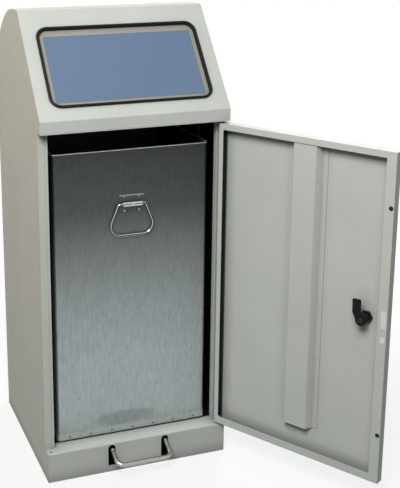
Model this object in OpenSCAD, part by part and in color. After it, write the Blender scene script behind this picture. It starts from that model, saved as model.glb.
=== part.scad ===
// Pedal recycling bin in folded sheet steel: plinth, cabinet, sloped hood with a self-closing
// flap, one front door and a galvanised container with a drop handle.
// Origin: middle of the plinth's underside. +Z is up, +X to the right, the front faces -Y.
// The door stands open, the flap is shut and the pedal is up.

/* [Cabinet] */
// Width over the side panels
body_w = 400; // [396:1:440]
// Depth from the plinth's front to the back panel
body_d = 380; // [370:1:430]
// Height to the top of the hood
body_h = 970; // [958:1:1040]
// Thickness of the cabinet's sheet steel
sheet = 1.5; // [1:0.1:2]
// Outer radius of the upright bends at the back
bend_r = 2.6; // [2.2:0.1:5]
// Height of the seam between cabinet and hood
seam_z = 750; // [742:1:764]
// Width of each front stile
stile_w = 20; // [18:0.5:24]
// Width of the folded hem on each stile's inner edge
hem_w = 5; // [4:0.5:7]
// Thickness that the hem adds in front
hem_t = 1.2; // [0.8:0.1:1.4]
// Depth of the lip folded back from each stile
stile_lip = 15; // [13:0.5:20]

/* [Plinth] */
// Height of the plinth
plinth_h = 66; // [64:1:74]
// Distance of each pedal slot from the middle
slot_x = 60; // [50:1:80]
// Width of each pedal slot
slot_w = 16; // [13:0.5:20]
// Height of the slots' flat bottom
slot_z = 13; // [12:0.5:18]
// Width of the base frame's foot flange
foot_w = 20; // [14:1:30]
// Height of the base frame's side upstand
foot_up = 40; // [30:1:43]
// Depth of the flanges folded down from the plinth's deck
deck_flange = 20; // [10:1:24]

/* [Hood] */
// Height of the upright fascia above the door
fascia_h = 26; // [20:1:32]
// Level run of the sloped face
slope_run = 166; // [158:1:172]
// Radius of the round back
hood_r = 185; // [170:1:190]
// Radius of the fold between slope and top
crown_r = 7; // [4:0.5:12]
// Radius of the fold between fascia and slope
brow_r = 4; // [2.5:0.5:8]
// Depth of the header plate over the doorway
header_d = 40; // [30:1:50]
// Reach of the skirt that joins the hood to the cabinet
skirt = 15; // [8:1:25]

/* [Mouth and flap] */
// Width of the mouth cut in the slope
mouth_w = 336; // [310:1:350]
// Length of the mouth along the slope
mouth_l = 178.5; // [168:0.5:182]
// Distance of the mouth from the slope's lower fold
mouth_s = 31.5; // [28:0.5:34]
// Corner radius of the mouth
mouth_r = 20; // [14:0.5:30]
// How far the rubber trim covers the sheet
trim_out = 6.5; // [4:0.5:8]
// How far the rubber trim stands into the mouth
trim_in = 4; // [2:0.5:5]
// Thickness of each leg of the trim
trim_t = 2.2; // [1.6:0.1:2.6]
// Thickness of the flap's sheet
flap_t = 1.2; // [0.8:0.1:1.5]
// How far the flap reaches under the trim on each side
flap_lap = 2; // [1:0.5:5]
// Depth of the flap's folded edges
flap_edge = 8; // [5:0.5:12]
// Side margin of the coloured film on the flap
film_x = 12; // [8:0.5:30]
// Bottom margin of the coloured film
film_low = 13.5; // [8:0.5:25]
// Top margin of the coloured film
film_high = 18; // [15:0.5:30]
// Thickness of the coloured film
film_t = 0.4; // [0.2:0.1:0.6]
// Depth of the flap's hinge axis below its face
flap_drop = 20; // [18:0.5:24]
// Diameter of the flap's axle
axle_d = 8; // [7:0.5:9]
// Angle through which the flap swings open
flap_open = 62; // [50:1:66]

/* [Door] */
// Gap round the door at its sides
door_gap = 3; // [2.5:0.5:4]
// Gap above and below the door
door_play = 4; // [3.5:0.25:5]
// Thickness of the door
door_t = 20; // [18:0.5:20]
// Thickness of the door's sheet
door_sheet = 1.2; // [0.8:0.1:1.3]
// Angle at which the door stands open
door_rest = 121; // [95:1:150]
// Distance of the hinge axis from the door's edge
hinge_in = 5.5; // [5.3:0.1:6]
// Distance of the hinge axis from the door's outer face
hinge_back = 8; // [7:0.1:8.4]
// Diameter of the hinge pins
pin_d = 5.4; // [4.5:0.1:5.6]
// Width of the lip on the free side
lip_free = 20; // [18:0.5:24]
// Width of the lip on the hinge side
lip_hinge = 10; // [8:0.5:14]
// Width of the top lip
lip_top = 13; // [10:0.5:18]
// Width of the bottom lip
lip_low = 16; // [10:0.5:20]
// Width of the stiffener's flat crown
rib_w = 49; // [36:1:60]
// Distance of the stiffener from the door's hinge edge
rib_x = 177; // [150:1:200]
// Spread of each sloped side of the stiffener
rib_flare = 6.6; // [4:0.2:10]
// Width of the stiffener's spot-weld brims
rib_brim = 12; // [8:0.5:16]
// Height of the stiffener's lower end
rib_z = 130; // [110:1:160]
// Heights of the two door bumpers
bumper_z = [174, 637];

/* [Lock] */
// Distance of the lock from the door's hinge edge
lock_x = 342; // [338:0.5:345]
// Height of the lock
lock_z = 405; // [350:1:460]
// Outer diameter of the lock's barrel housing
lock_d = 19; // [17:0.5:20]
// Reach of the locking cam from the lock's middle
cam_l = 42; // [40:0.5:44]
// Width of the locking cam
cam_w = 17; // [14:0.5:20]
// Angle at which the cam leans when unlocked
cam_rest = 2; // [0:1:15]

/* [Pedal] */
// Diameter of the pedal's round bar
bar_d = 9; // [8:0.5:10]
// Reach of the pedal in front of the plinth
bar_reach = 42; // [34:1:50]
// Drop of the foot bar below the arms
bar_drop = 17; // [12:0.5:17.5]
// Radius of the pedal's bends
bar_bend = 14; // [11:0.5:18]
// Distance of the pedal shaft from the back panel
shaft_in = 60; // [50:1:90]
// Diameter of the pedal shaft
shaft_d = 12; // [10:0.5:13]
// Depth of the shaft and the pull rod's eye below the deck
shaft_low = 21; // [20:0.5:22]
// Angle through which the pedal is pressed
pedal_press = 4.5; // [4:0.1:4.6]
// Diameter of the pull rod
rod_d = 6; // [5:0.5:7]
// Distance of the pull rod from the side panel's inner face
rod_in = 8.8; // [8.6:0.1:9.4]
// Heights of the pull rod's guides
guide_z = [320, 640];
// Wire diameter of the return spring
spring_wire = 2.2; // [1.6:0.1:2.6]
// Turns of the return spring
spring_turns = 7; // [4:1:7]

/* [Container] */
// Width of the container
cont_w = 334; // [326:1:336]
// Depth of the container
cont_d = 310; // [280:1:325]
// Height of the container's sides
cont_h = 631; // [560:1:640]
// Distance of the container's front from the plinth's front
cont_in = 40; // [40:0.5:46]
// Thickness of the container's galvanised sheet
zinc_t = 1; // [0.7:0.1:1.4]
// Corner radius of the container
cont_r = 6; // [4:0.5:12]
// Height of the folded rim
rim_h = 8; // [5:0.5:14]
// Height of the base pan's upturned flange
pan_h = 17; // [12:0.5:26]
// Spacing of the rivets along the base pan
rivet_pitch = 47; // [36:1:60]
// Height of the drop handle's pivot
grip_z = 582; // [480:1:600]
// Wire diameter of the drop handle
grip_d = 6.2; // [5:0.1:7]
// Width of the drop handle at its pivot, between wire centres
grip_top = 58.6; // [58:0.2:64]
// Width of the drop handle at its grip, between wire centres
grip_low = 112; // [96:1:124]
// Length of the drop handle from pivot to grip
grip_l = 67; // [55:1:80]
// Bend radius of the drop handle's lower corners
grip_bend = 22; // [10:1:24]

/* [Hidden] */
$fn = 48;

// Clearances
seat = 0.3;      // between a piece and what it rests on
fit_r = 0.05;    // radial play of a shaft in its bore
over = 1;        // cutters reach this far past what they cut
bend_thin = 0.04; // a bent rod loses this much radius in its bends

// Colours
paint = "#d3d6ce";
paint_flap = "#968f82";
film_blue = "#7186a5";
zinc = "#9aa3a8";
steel = "#a9a8a2";
rubber = "#1e1e1c";
nylon = "#e4e2da";

// Planes of the cabinet
side_x = body_w / 2;
wall_x = side_x - sheet;
front_y = -body_d / 2;
back_y = body_d / 2;
door_gap_y = 2;
stile_y = front_y + door_t + door_gap_y;
deck_z = plinth_h - sheet;
header_drop = 2;
header_z = seam_z - header_drop;
brow_z = header_z + fascia_h;

// Slope of the hood
slope_a = atan2(body_h - brow_z, slope_run);
slope_l = norm([slope_run, body_h - brow_z]);

// The round back can't be taller than the hood's own back
back_r = min(hood_r, body_h - seam_z - skirt);

// Flap and its hinge, in the slope's own frame: s runs up the slope, n points out from its face
mouth_top = mouth_s + mouth_l;
knuckle_r = axle_d / 2 + fit_r + flap_t;
flap_n = -sheet - trim_t - seat;
flap_top = mouth_top + 2;
flap_low = mouth_s - 4;
flap_w = mouth_w + 2 * flap_lap;
film_r = 3;
hinge_s = flap_top - flap_t / 2;
hinge_n = flap_n - flap_drop;
flap_y = front_y + hinge_s * cos(slope_a) - hinge_n * sin(slope_a);
flap_z = brow_z + hinge_s * sin(slope_a) + hinge_n * cos(slope_a);

// Pedal shaft, pull rod and crank
shaft_y = back_y - shaft_in;
shaft_z = plinth_h - shaft_low;
arm_z = plinth_h - 13;
bar_y = front_y - bar_reach;
bar_z = arm_z - bar_drop;
knee_y = front_y - 7;
rod_x = wall_x - rod_in;
eye_t = 3;
eye_gap = 0.2;
link_t = 4;
link_x = rod_x - eye_t / 2 - eye_gap - link_t;
link_pin_r = 2.5;
// The lever's length depends on the crank's, and the crank's on the lever's: two passes settle it
lever_first = shaft_y - flap_y + 13;
crank_first = lever_first * sin(pedal_press) / (2 * sin(flap_open / 2));
rod_y = flap_y - crank_first * (1 + cos(flap_open / 2)) / 2;
lever_l = shaft_y - rod_y;
crank_l = lever_l * sin(pedal_press) / (2 * sin(flap_open / 2));
crank_pin_y = flap_y - crank_l * cos(flap_open / 2);
crank_pin_z = flap_z + crank_l * sin(flap_open / 2);
eye_play = 1.4;
eye_rise = 0.5;
guide_r = 9;
guide_t = 2;
guide_leg = 28;
guide_play = 1.2;
bearing_left = 110;
bearing_right = 150;
bearing_wall = 8;
bearing_flange = 18;
bush_t = 2;
shaft_bearings = [-bearing_left, bearing_right];

// Fasteners that show
rivet_back_1 = 18;
rivet_back_2 = 52;
rivet_down_1 = 52.5;
rivet_down_2 = 30;
hood_rivet_at = [
    [front_y + slope_run + rivet_back_1, body_h - rivet_down_1],
    [front_y + slope_run + rivet_back_2, body_h - rivet_down_2]
];
frame_rivet_y = [-130, 0, 130];
frame_rivet_z = foot_up / 2;
rivet_r = 2;
rivet_head_r = 3.4;
rivet_head_h = 1;
bracket_t = 2.5;
lug_axle_r = 12;
lug_rivet_r = 8;

// Door, in its closed place
door_x = side_x - door_gap;
door_z0 = plinth_h + door_play;
door_z1 = header_z - door_play;
hinge_x = door_x - hinge_in;
hinge_y = front_y + hinge_back;
lock_at = door_x - lock_x;
bush_wall = 0.8;
bush_r = pin_d / 2 + fit_r + bush_wall;
bush_flange = 1.5;
plate_t = 3;
plate_w = 22;
plate_d = 17;
plate_notch = 2;
cam_t = 3;
cam_hub = 11;
cam_ease = 2.5;
cam_y = stile_y + sheet + 1;
bumper_x = -door_x + 6;

// Container
cont_y0 = front_y + cont_in;
cont_y1 = cont_y0 + cont_d;
cont_z0 = plinth_h + seat;
cont_z1 = cont_z0 + cont_h;
cont_mid = (cont_y0 + cont_y1) / 2;
small_rivet_r = 1.5;
small_head_r = 2.8;
small_head_h = 0.9;
grip_plate = [55, 38];
grip_plate_t = 1.2;
grip_y = cont_y0 - grip_plate_t - grip_d / 2 - 0.3;
grip_knuckle = 20;
grip_gap = 7;
grip_shoulder = 5;
grip_rivet = [16, 15.5];

// A vector one unit long
function unit(v) = v / norm(v);

// Angle between the two sides that meet in a corner
function corner_angle(a, p, b) = acos(unit(a - p) * unit(b - p));

// The two points where a corner's arc starts and ends
function arc_ends(a, p, b, r) =
    r == 0 ? [p] : let (t = r / tan(corner_angle(a, p, b) / 2))
    [p + unit(a - p) * t, p + unit(b - p) * t];

// The middle of a corner's arc
function arc_centre(a, p, b, r) =
    p + unit(unit(a - p) + unit(b - p)) * r / sin(corner_angle(a, p, b) / 2);

// A convex outline with true arcs at its corners, one radius for each point
module soft_outline(p, r) {
    n = len(p);
    polygon([for (i = [0:n - 1]) each arc_ends(p[(i + n - 1) % n], p[i], p[(i + 1) % n], r[i])]);
    for (i = [0:n - 1])
        if (r[i] > 0)
            translate(arc_centre(p[(i + n - 1) % n], p[i], p[(i + 1) % n], r[i])) circle(r[i]);
}

// A centred rectangle with round corners
module rounded(w, h, r)
    soft_outline([[-w / 2, -h / 2], [w / 2, -h / 2], [w / 2, h / 2], [-w / 2, h / 2]], [r, r, r, r]);

// A block between two corners
module block(low, high) translate(low) cube(high - low);

// Extrudes a side profile, drawn as depth and height, across the width
module across(x0, x1) translate([x0, 0, 0]) rotate([90, 0, 90]) linear_extrude(x1 - x0) children();

// A cylinder along X
module x_rod(x0, x1, y, z, r) translate([x0, y, z]) rotate([0, 90, 0]) cylinder(h = x1 - x0, r = r);

// A cylinder along Y
module y_rod(y0, y1, x, z, r) translate([x, y0, z]) rotate([-90, 0, 0]) cylinder(h = y1 - y0, r = r);

// A flat bar with round ends between two points, as a 2D shape
module strap(p, q, rp, rq) {
    n = [-(q - p).y, (q - p).x] / norm(q - p);
    polygon([p + n * rp, p - n * rp, q - n * rq, q + n * rq]);
    translate(p) circle(rp);
    translate(q) circle(rq);
}

// A rivet whose head's seat is at the origin, with the head towards +Z
module rivet(grip, r, head_r, head_h) {
    cylinder(h = head_h, r1 = head_r, r2 = head_r * 0.6);
    translate([0, 0, -grip]) cylinder(h = grip, r = r);
}

// A rod drawn piece by piece along +Z: a straight run, then a bend towards +X, and so on.
// Bending draws the rod a little thinner, and each bend starts just inside the run before it.
module rod_run(run, turn, roll, br, r, i = 0) {
    cylinder(h = run[i], r = r);
    if (i < len(run) - 1)
        translate([br[i + 1], 0, run[i]]) {
            root = 18 / br[i + 1];
            rotate([90, 0, 180]) rotate([0, 0, -root])
                rotate_extrude(angle = turn[i + 1] + 2 * root)
                    translate([br[i + 1], 0]) circle(r - bend_thin);
            rotate([0, turn[i + 1], 0]) translate([-br[i + 1], 0, 0]) rotate([0, 0, roll[i]])
                rod_run(run, turn, roll, br, r, i + 1);
        }
}

// A bent rod through a list of corners, with a bend radius for each corner
module bent_rod(p, br, r) {
    n = len(p);
    d = [for (i = [0:n - 2]) unit(p[i + 1] - p[i])];
    turn = [0, for (i = [1:n - 2]) acos(d[i - 1] * d[i]), 0];
    reach = [for (i = [0:n - 1]) br[i] * tan(turn[i] / 2)];
    run = [for (i = [0:n - 2]) norm(p[i + 1] - p[i]) - reach[i] - reach[i + 1]];
    pull = [for (i = [1:n - 2]) unit(d[i] - cos(turn[i]) * d[i - 1])];
    roll = [
        for (i = [1:n - 3]) let (x = cos(turn[i]) * pull[i - 1] - sin(turn[i]) * d[i - 1])
            atan2(pull[i] * cross(d[i], x), pull[i] * x),
        0
    ];
    x = pull[0];
    z = d[0];
    y = cross(z, x);
    multmatrix([[x.x, y.x, z.x, p[0].x], [x.y, y.y, z.y, p[0].y], [x.z, y.z, z.z, p[0].z], [0, 0, 0, 1]])
        rod_run(run, turn, roll, br, r);
}

// Places what is drawn in the slope's own frame: X across, Y up the slope, Z out from its face
module on_slope() translate([0, front_y, brow_z]) rotate([slope_a, 0, 0]) children();

// Turns the door and what it carries from closed to its resting place
module at_door() translate([hinge_x, hinge_y, 0]) rotate([0, 0, door_rest])
    translate([-hinge_x, -hinge_y, 0]) children();

// The cabinet's plan, drawn in by inset, from a front line to the back
module plan(inset, y0) {
    x = side_x - inset;
    y = back_y - inset;
    r = max(bend_r - inset, 0);
    soft_outline([[-x, y0], [x, y0], [x, y], [-x, y]], [0, 0, r, r]);
}

// The sides and back as one folded wall
module folded_wall(inset, y0) difference() {
    plan(inset, y0);
    translate([0, -over]) plan(inset + sheet, y0);
    plan(inset + sheet, y0);
}

module stile() {
    inner = side_x - stile_w;
    translate([inner, stile_y]) square([stile_w - sheet, sheet]);
    translate([inner, stile_y]) square([sheet, stile_lip]);
    soft_outline([[inner, stile_y - hem_t], [inner + hem_w, stile_y - hem_t],
        [inner + hem_w, stile_y], [inner, stile_y]], [hem_t / 2, hem_t / 2, 0, 0]);
}

// The small round relief where the side folds meet at the seam
module seam_relief() for (s = [0, 1]) mirror([s, 0, 0])
    x_rod(wall_x, side_x + over, stile_y, seam_z, header_drop + 0.3);

module body_shell() color(paint) difference() {
    slot_up = cam_l - 9;
    union() {
        linear_extrude(plinth_h) folded_wall(0, front_y);
        linear_extrude(seam_z) folded_wall(0, stile_y);
        translate([0, 0, plinth_h]) linear_extrude(header_z - plinth_h) {
            stile();
            mirror([1, 0]) stile();
        }
    }
    seam_relief();
    translate([-side_x + stile_w - sheet / 2, 0, lock_z])
        block([-sheet, stile_y + sheet + seat, -slot_up], [sheet, stile_y + stile_lip - 5, slot_up]);
    for (y = frame_rivet_y)
        x_rod(-side_x - over, side_x + over, y, frame_rivet_z, rivet_r + fit_r);
}

// The hood's side profile, drawn in by inset
module hood_profile(inset, low) {
    soft_outline([
        [front_y + inset, low],
        [front_y + inset, brow_z - inset * tan(45 - slope_a / 2)],
        [front_y + slope_run + inset * tan(slope_a / 2), body_h - inset],
        [back_y - back_r, body_h - inset],
        [back_y - back_r, body_h - back_r],
        [back_y - inset, body_h - back_r],
        [back_y - inset, low]
    ], [0, brow_r - inset, crown_r - inset, 0, 0, 0, 0]);
    translate([back_y - back_r, body_h - back_r]) intersection() {
        circle(back_r - inset, $fn = 96);
        square(back_r + over);
    }
}

// Flat flanges inside the sides and the back, which join the hood to the cabinet
module hood_skirt() {
    z0 = seam_z - skirt;
    z1 = seam_z + 8;
    clear = bend_r + 4;
    for (s = [0, 1]) mirror([s, 0, 0])
        block([wall_x - sheet, front_y + header_d, z0], [wall_x, back_y - sheet - clear, z1]);
    block([-wall_x + clear, back_y - 2 * sheet, z0], [wall_x - clear, back_y - sheet, z1]);
}

module hood_shell() color(paint) difference() {
    union() {
        difference() {
            across(-side_x, side_x) hood_profile(0, header_z);
            across(-wall_x, wall_x) hood_profile(sheet, header_z - over);
            block([-side_x - over, stile_y, header_z - over], [side_x + over, back_y + over, seam_z]);
        }
        block([-wall_x, front_y + sheet, header_z], [wall_x, front_y + header_d, header_z + sheet]);
        block([-wall_x, front_y + header_d - sheet, header_z],
            [wall_x, front_y + header_d, header_z + 10]);
        hood_skirt();
    }
    on_slope() translate([0, mouth_s + mouth_l / 2, -sheet - over]) linear_extrude(sheet + 2 * over)
        rounded(mouth_w, mouth_l, mouth_r);
    seam_relief();
    for (s = [-1, 1])
        translate([s * hinge_x, hinge_y, header_z - over]) cylinder(h = sheet + 2 * over, r = pin_d / 2 + fit_r);
    for (p = hood_rivet_at)
        x_rod(-side_x - over, side_x + over, p.x, p.y, rivet_r + fit_r);
}

// The deck, the front wall and the down-turned back flange as one folded profile
module tray_profile() difference() {
    soft_outline([[front_y, 0], [back_y - sheet, 0], [back_y - sheet, plinth_h], [front_y, plinth_h]],
        [0, 0, 0, bend_r]);
    soft_outline([[front_y + sheet, -over], [back_y - 2 * sheet, -over], [back_y - 2 * sheet, deck_z],
        [front_y + sheet, deck_z]], [0, 0, 0, bend_r - sheet]);
    translate([back_y - 3 * sheet, -over]) square([3 * sheet, plinth_h - deck_flange + over]);
}

module pedal_slot() {
    top = plinth_h - 4 - slot_w / 2;
    translate([-slot_w / 2, slot_z]) square([slot_w, top - slot_z]);
    translate([0, top]) circle(slot_w / 2);
}

module plinth_tray() color(paint) difference() {
    intersection() {
        union() {
            across(-wall_x, wall_x) tray_profile();
            for (s = [0, 1]) mirror([s, 0, 0])
                block([wall_x - sheet, stile_y, plinth_h - deck_flange],
                    [wall_x, back_y - sheet, deck_z]);
        }
        linear_extrude(plinth_h) plan(sheet, front_y);
    }
    for (s = [-1, 1]) {
        translate([s * slot_x, front_y + sheet + over, 0]) rotate([90, 0, 0])
            linear_extrude(sheet + 2 * over) pedal_slot();
        translate([s * hinge_x, hinge_y, deck_z - over]) cylinder(h = sheet + 2 * over, r = pin_d / 2 + fit_r);
    }
    translate([rod_x, rod_y, deck_z - over]) cylinder(h = sheet + 2 * over, r = rod_d / 2 + 2.5);
}

module base_frame() color(paint) difference() {
    union() {
        linear_extrude(sheet) difference() {
            plan(sheet, front_y + sheet);
            translate([0, foot_w]) plan(sheet + foot_w, front_y + sheet);
            plan(sheet + foot_w, front_y + sheet + foot_w);
        }
        linear_extrude(foot_up) folded_wall(sheet, front_y + sheet);
        block([-wall_x + sheet, front_y + sheet, 0], [wall_x - sheet, front_y + 2 * sheet, slot_z - 2]);
    }
    for (y = frame_rivet_y)
        x_rod(-side_x - over, side_x + over, y, frame_rivet_z, rivet_r + fit_r);
}

// Rubber edge trim: a bead on each side of the sheet, joined through the mouth
module opening_trim() color(rubber) on_slope() translate([0, mouth_s + mouth_l / 2, 0]) difference() {
    grow = 2 * trim_out;
    translate([0, 0, -sheet - trim_t]) linear_extrude(sheet + 2 * trim_t)
        rounded(mouth_w + grow, mouth_l + grow, mouth_r + trim_out);
    translate([0, 0, -sheet - trim_t - over]) linear_extrude(sheet + 2 * trim_t + 2 * over)
        rounded(mouth_w - 2 * trim_in, mouth_l - 2 * trim_in, mouth_r - trim_in);
    translate([0, 0, -sheet]) linear_extrude(sheet) difference() {
        square([mouth_w + 2 * grow, mouth_l + 2 * grow], center = true);
        rounded(mouth_w, mouth_l, mouth_r);
    }
}

// Each pin has a collar on the sheet, a shank through it and a tail in the door's bush
module hinge_pin() {
    collar = door_play - bush_flange - seat;
    cylinder(h = collar, r = bush_r + 0.7);
    translate([0, 0, -sheet]) cylinder(h = sheet + door_play + 12, r = pin_d / 2);
}

module hinge_pins() color(steel) {
    translate([hinge_x, hinge_y, plinth_h]) hinge_pin();
    translate([hinge_x, hinge_y, header_z]) mirror([0, 0, 1]) hinge_pin();
}

module flap_brackets() color(steel) for (s = [0, 1]) mirror([s, 0, 0])
    difference() {
        across(wall_x - bracket_t, wall_x) {
            strap([flap_y, flap_z], hood_rivet_at[0], lug_axle_r, lug_rivet_r);
            strap([flap_y, flap_z], hood_rivet_at[1], lug_axle_r, lug_rivet_r);
            strap(hood_rivet_at[0], hood_rivet_at[1], lug_rivet_r, lug_rivet_r);
        }
        x_rod(wall_x - bracket_t - over, wall_x + over, flap_y, flap_z, axle_d / 2 + bush_t + fit_r);
        for (p = hood_rivet_at)
            x_rod(wall_x - bracket_t - over, wall_x + over, p.x, p.y, rivet_r + fit_r);
    }

// A flanged bearing bush with its flange on the inner side of a plate
module x_bush(x0, plate, flange, y, z, bore, wall, collar) difference() {
    union() {
        x_rod(x0, x0 + plate, y, z, bore + wall);
        x_rod(x0 - flange, x0, y, z, bore + collar);
    }
    x_rod(x0 - flange - over, x0 + plate + over, y, z, bore + fit_r);
}

module flap_bushes() color(nylon) for (s = [0, 1]) mirror([s, 0, 0])
    x_bush(wall_x - bracket_t, bracket_t, bush_t, flap_y, flap_z, axle_d / 2, bush_t, 5);

module hood_rivets() color(paint) for (s = [0, 1], p = hood_rivet_at) mirror([s, 0, 0])
    translate([side_x, p.x, p.y]) rotate([0, 90, 0])
        rivet(sheet + bracket_t, rivet_r, rivet_head_r, rivet_head_h);

module frame_rivets() color(steel) for (s = [0, 1], y = frame_rivet_y) mirror([s, 0, 0])
    translate([side_x, y, frame_rivet_z]) rotate([0, 90, 0])
        rivet(2 * sheet, rivet_r, rivet_head_r, rivet_head_h);

module shaft_brackets() color(steel) {
    half = shaft_d / 2 + bearing_wall;
    for (x = shaft_bearings) difference() {
        union() {
            across(x, x + plate_t) {
                translate([shaft_y, shaft_z]) circle(half);
                translate([shaft_y - half, shaft_z]) square([2 * half, deck_z - shaft_z]);
            }
            block([x, shaft_y - half, deck_z - plate_t], [x + bearing_flange, shaft_y + half, deck_z]);
        }
        x_rod(x - over, x + plate_t + over, shaft_y, shaft_z, shaft_d / 2 + bush_t + fit_r);
    }
}

module shaft_bushes() color(nylon) for (x = shaft_bearings)
    x_bush(x, plate_t, bush_t, shaft_y, shaft_z, shaft_d / 2, bush_t, 4);

// Angle clips on the side panel that steady the pull rod
module rod_guides() color(steel) for (z = guide_z) {
    half = guide_r;
    translate([0, rod_y, z]) {
        block([wall_x - guide_t, -half, -guide_leg], [wall_x, half, guide_t]);
        linear_extrude(guide_t) difference() {
            translate([rod_x, -half]) square([wall_x - rod_x, 2 * half]);
            translate([rod_x, 0]) circle(rod_d / 2 + guide_play);
        }
        linear_extrude(guide_t) difference() {
            translate([rod_x, 0]) circle(half);
            translate([rod_x, 0]) circle(rod_d / 2 + guide_play);
        }
    }
}

// Points of the return spring: a leg up to the deck, the coils, and a leg under the pedal's arm
spring_r = shaft_d / 2 + 1.5 + spring_wire / 2;
spring_pitch = spring_wire + 0.6;
spring_x1 = slot_x - bar_d / 2 - 3;
spring_x0 = spring_x1 - (spring_turns + 0.25) * spring_pitch;
spring_steps = 16;
spring_under = shaft_z - (bar_d + spring_wire) / 2 - seat;
spring_path = concat(
    [[spring_x0, shaft_y + 34, deck_z - spring_wire / 2 - seat],
        [spring_x0, shaft_y + 12, shaft_z + spring_r + 2]],
    [for (i = [0:(spring_turns + 0.25) * spring_steps]) let (a = 90 + 360 * i / spring_steps)
        [spring_x0 + spring_pitch * i / spring_steps, shaft_y + spring_r * cos(a),
            shaft_z + spring_r * sin(a)]],
    [[spring_x1, shaft_y - spring_r - 4, spring_under - 2],
        [spring_x1 + 2, shaft_y - spring_r - 9, spring_under - 1],
        [slot_x + 3, shaft_y - spring_r - 26, spring_under + 0.5]]
);

// A round wire swept along a path that never runs along X
module swept_wire(p, r, sides) {
    n = len(p);
    function along(i) = unit(p[min(i + 1, n - 1)] - p[max(i - 1, 0)]);
    function across_x(t) = unit([1, 0, 0] - t.x * t);
    ring = [for (i = [0:n - 1]) let (t = along(i), u = across_x(t), v = cross(t, u))
        for (k = [0:sides - 1]) p[i] + r * (cos(360 * k / sides) * u + sin(360 * k / sides) * v)];
    walls = [for (i = [0:n - 2], k = [0:sides - 1]) let (a = i * sides + k, b = i * sides + (k + 1) % sides)
        each [[a, a + sides, b], [b, a + sides, b + sides]]];
    ends = [[for (k = [0:sides - 1]) k], [for (k = [sides - 1:-1:0]) (n - 1) * sides + k]];
    polyhedron(ring, concat(walls, ends));
}

module return_spring() color(steel) swept_wire(spring_path, spring_wire / 2, 6);

// The door's plan section: a shallow tray folded from one sheet
module door_section() difference() {
    soft_outline([[-door_x, front_y], [door_x, front_y], [door_x, front_y + door_t],
        [-door_x, front_y + door_t]], [bend_r, bend_r, 0, 0]);
    soft_outline([[-door_x + door_sheet, front_y + door_sheet], [door_x - door_sheet, front_y + door_sheet],
        [door_x - door_sheet, front_y + door_t + over], [-door_x + door_sheet, front_y + door_t + over]],
        [bend_r - door_sheet, bend_r - door_sheet, 0, 0]);
}

// The window that the four lips leave, with its upper free corner cut back
module door_window() {
    bevel = 8;
    ease = 3;
    x0 = -door_x + lip_free;
    x1 = door_x - lip_hinge;
    z0 = door_z0 + lip_low;
    z1 = door_z1 - lip_top;
    polygon([[x0 + ease, z0], [x1 - ease, z0], [x1, z0 + ease], [x1, z1 - ease], [x1 - ease, z1],
        [x0 + bevel, z1], [x0, z1 - bevel], [x0, z0 + ease]]);
}

module door_skin() color(paint) at_door() difference() {
    inner_y = front_y + door_t;
    union() {
        translate([0, 0, door_z0]) linear_extrude(door_z1 - door_z0) door_section();
        for (z = [door_z0, door_z1 - door_sheet])
            block([-door_x + door_sheet, front_y + door_sheet, z],
                [door_x - door_sheet, inner_y, z + door_sheet]);
        translate([0, inner_y, 0]) rotate([90, 0, 0]) linear_extrude(door_sheet) difference() {
            translate([-door_x, door_z0]) square([2 * door_x, door_z1 - door_z0]);
            door_window();
        }
    }
    for (z = [door_z0 - over, door_z1 - door_sheet - over])
        translate([hinge_x, hinge_y, z]) cylinder(h = door_sheet + 2 * over, r = bush_r + fit_r);
    y_rod(front_y - over, front_y + door_sheet + over, lock_at, lock_z, lock_d / 2 + fit_r);
    for (z = bumper_z)
        y_rod(inner_y - door_sheet - over, inner_y + over, bumper_x, z, 2 + fit_r);
}

module door_stiffener() color(paint) at_door() {
    t = door_sheet;
    x0 = door_x - rib_x;
    x1 = x0 - rib_w;
    y0 = front_y + door_sheet;
    y1 = front_y + door_t - 1.6;
    s = rib_flare;
    b = rib_brim;
    lean = t * 0.45;
    translate([0, 0, rib_z]) linear_extrude(door_z1 - door_sheet - rib_z) polygon([
        [x0 + s + b, y0], [x0 + s, y0], [x0, y1 - t], [x1, y1 - t], [x1 - s, y0], [x1 - s - b, y0],
        [x1 - s - b, y0 + t], [x1 - s - t - lean, y0 + t], [x1 - t + lean, y1],
        [x0 + t - lean, y1], [x0 + s + t + lean, y0 + t], [x0 + s + b, y0 + t]
    ]);
}

module door_bumpers() color(rubber) at_door() for (z = bumper_z) {
    inner_y = front_y + door_t;
    y_rod(inner_y - door_sheet, inner_y, bumper_x, z, 2);
    y_rod(inner_y, inner_y + door_gap_y - 0.4, bumper_x, z, 4.5);
    y_rod(inner_y - door_sheet - 1.5, inner_y - door_sheet, bumper_x, z, 3);
}

// Thick plates inside the door that hold the hinge bushes
module hinge_plates() color(steel) at_door()
    for (z = [door_z0 + door_sheet, door_z1 - door_sheet - plate_t])
        difference() {
            block([door_x - plate_w, front_y + door_sheet, z],
                [door_x - door_sheet, front_y + plate_d, z + plate_t]);
            translate([hinge_x, hinge_y, z - over]) cylinder(h = plate_t + 2 * over, r = bush_r + fit_r);
            translate([door_x - plate_notch, front_y, z - over])
                cube([2 * plate_notch, 2 * plate_notch, plate_t + 2 * over]);
        }

module hinge_bush() difference() {
    union() {
        translate([0, 0, -bush_flange]) cylinder(h = bush_flange, r = bush_r + 0.7);
        cylinder(h = door_sheet + plate_t, r = bush_r);
    }
    translate([0, 0, -bush_flange - over])
        cylinder(h = bush_flange + door_sheet + plate_t + 2 * over, r = pin_d / 2 + fit_r);
}

module hinge_bushes() color(nylon) at_door() {
    translate([hinge_x, hinge_y, door_z0]) hinge_bush();
    translate([hinge_x, hinge_y, door_z1]) mirror([0, 0, 1]) hinge_bush();
}

// Lock pieces are drawn about the lock's axis, with +Z into the cabinet from the door's outer face
module at_lock() at_door() translate([lock_at, front_y, lock_z]) rotate([-90, 0, 0]) children();

barrel_r = 6;
lock_end = door_t;
cam_in = cam_y - front_y;
drive = 7;

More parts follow.
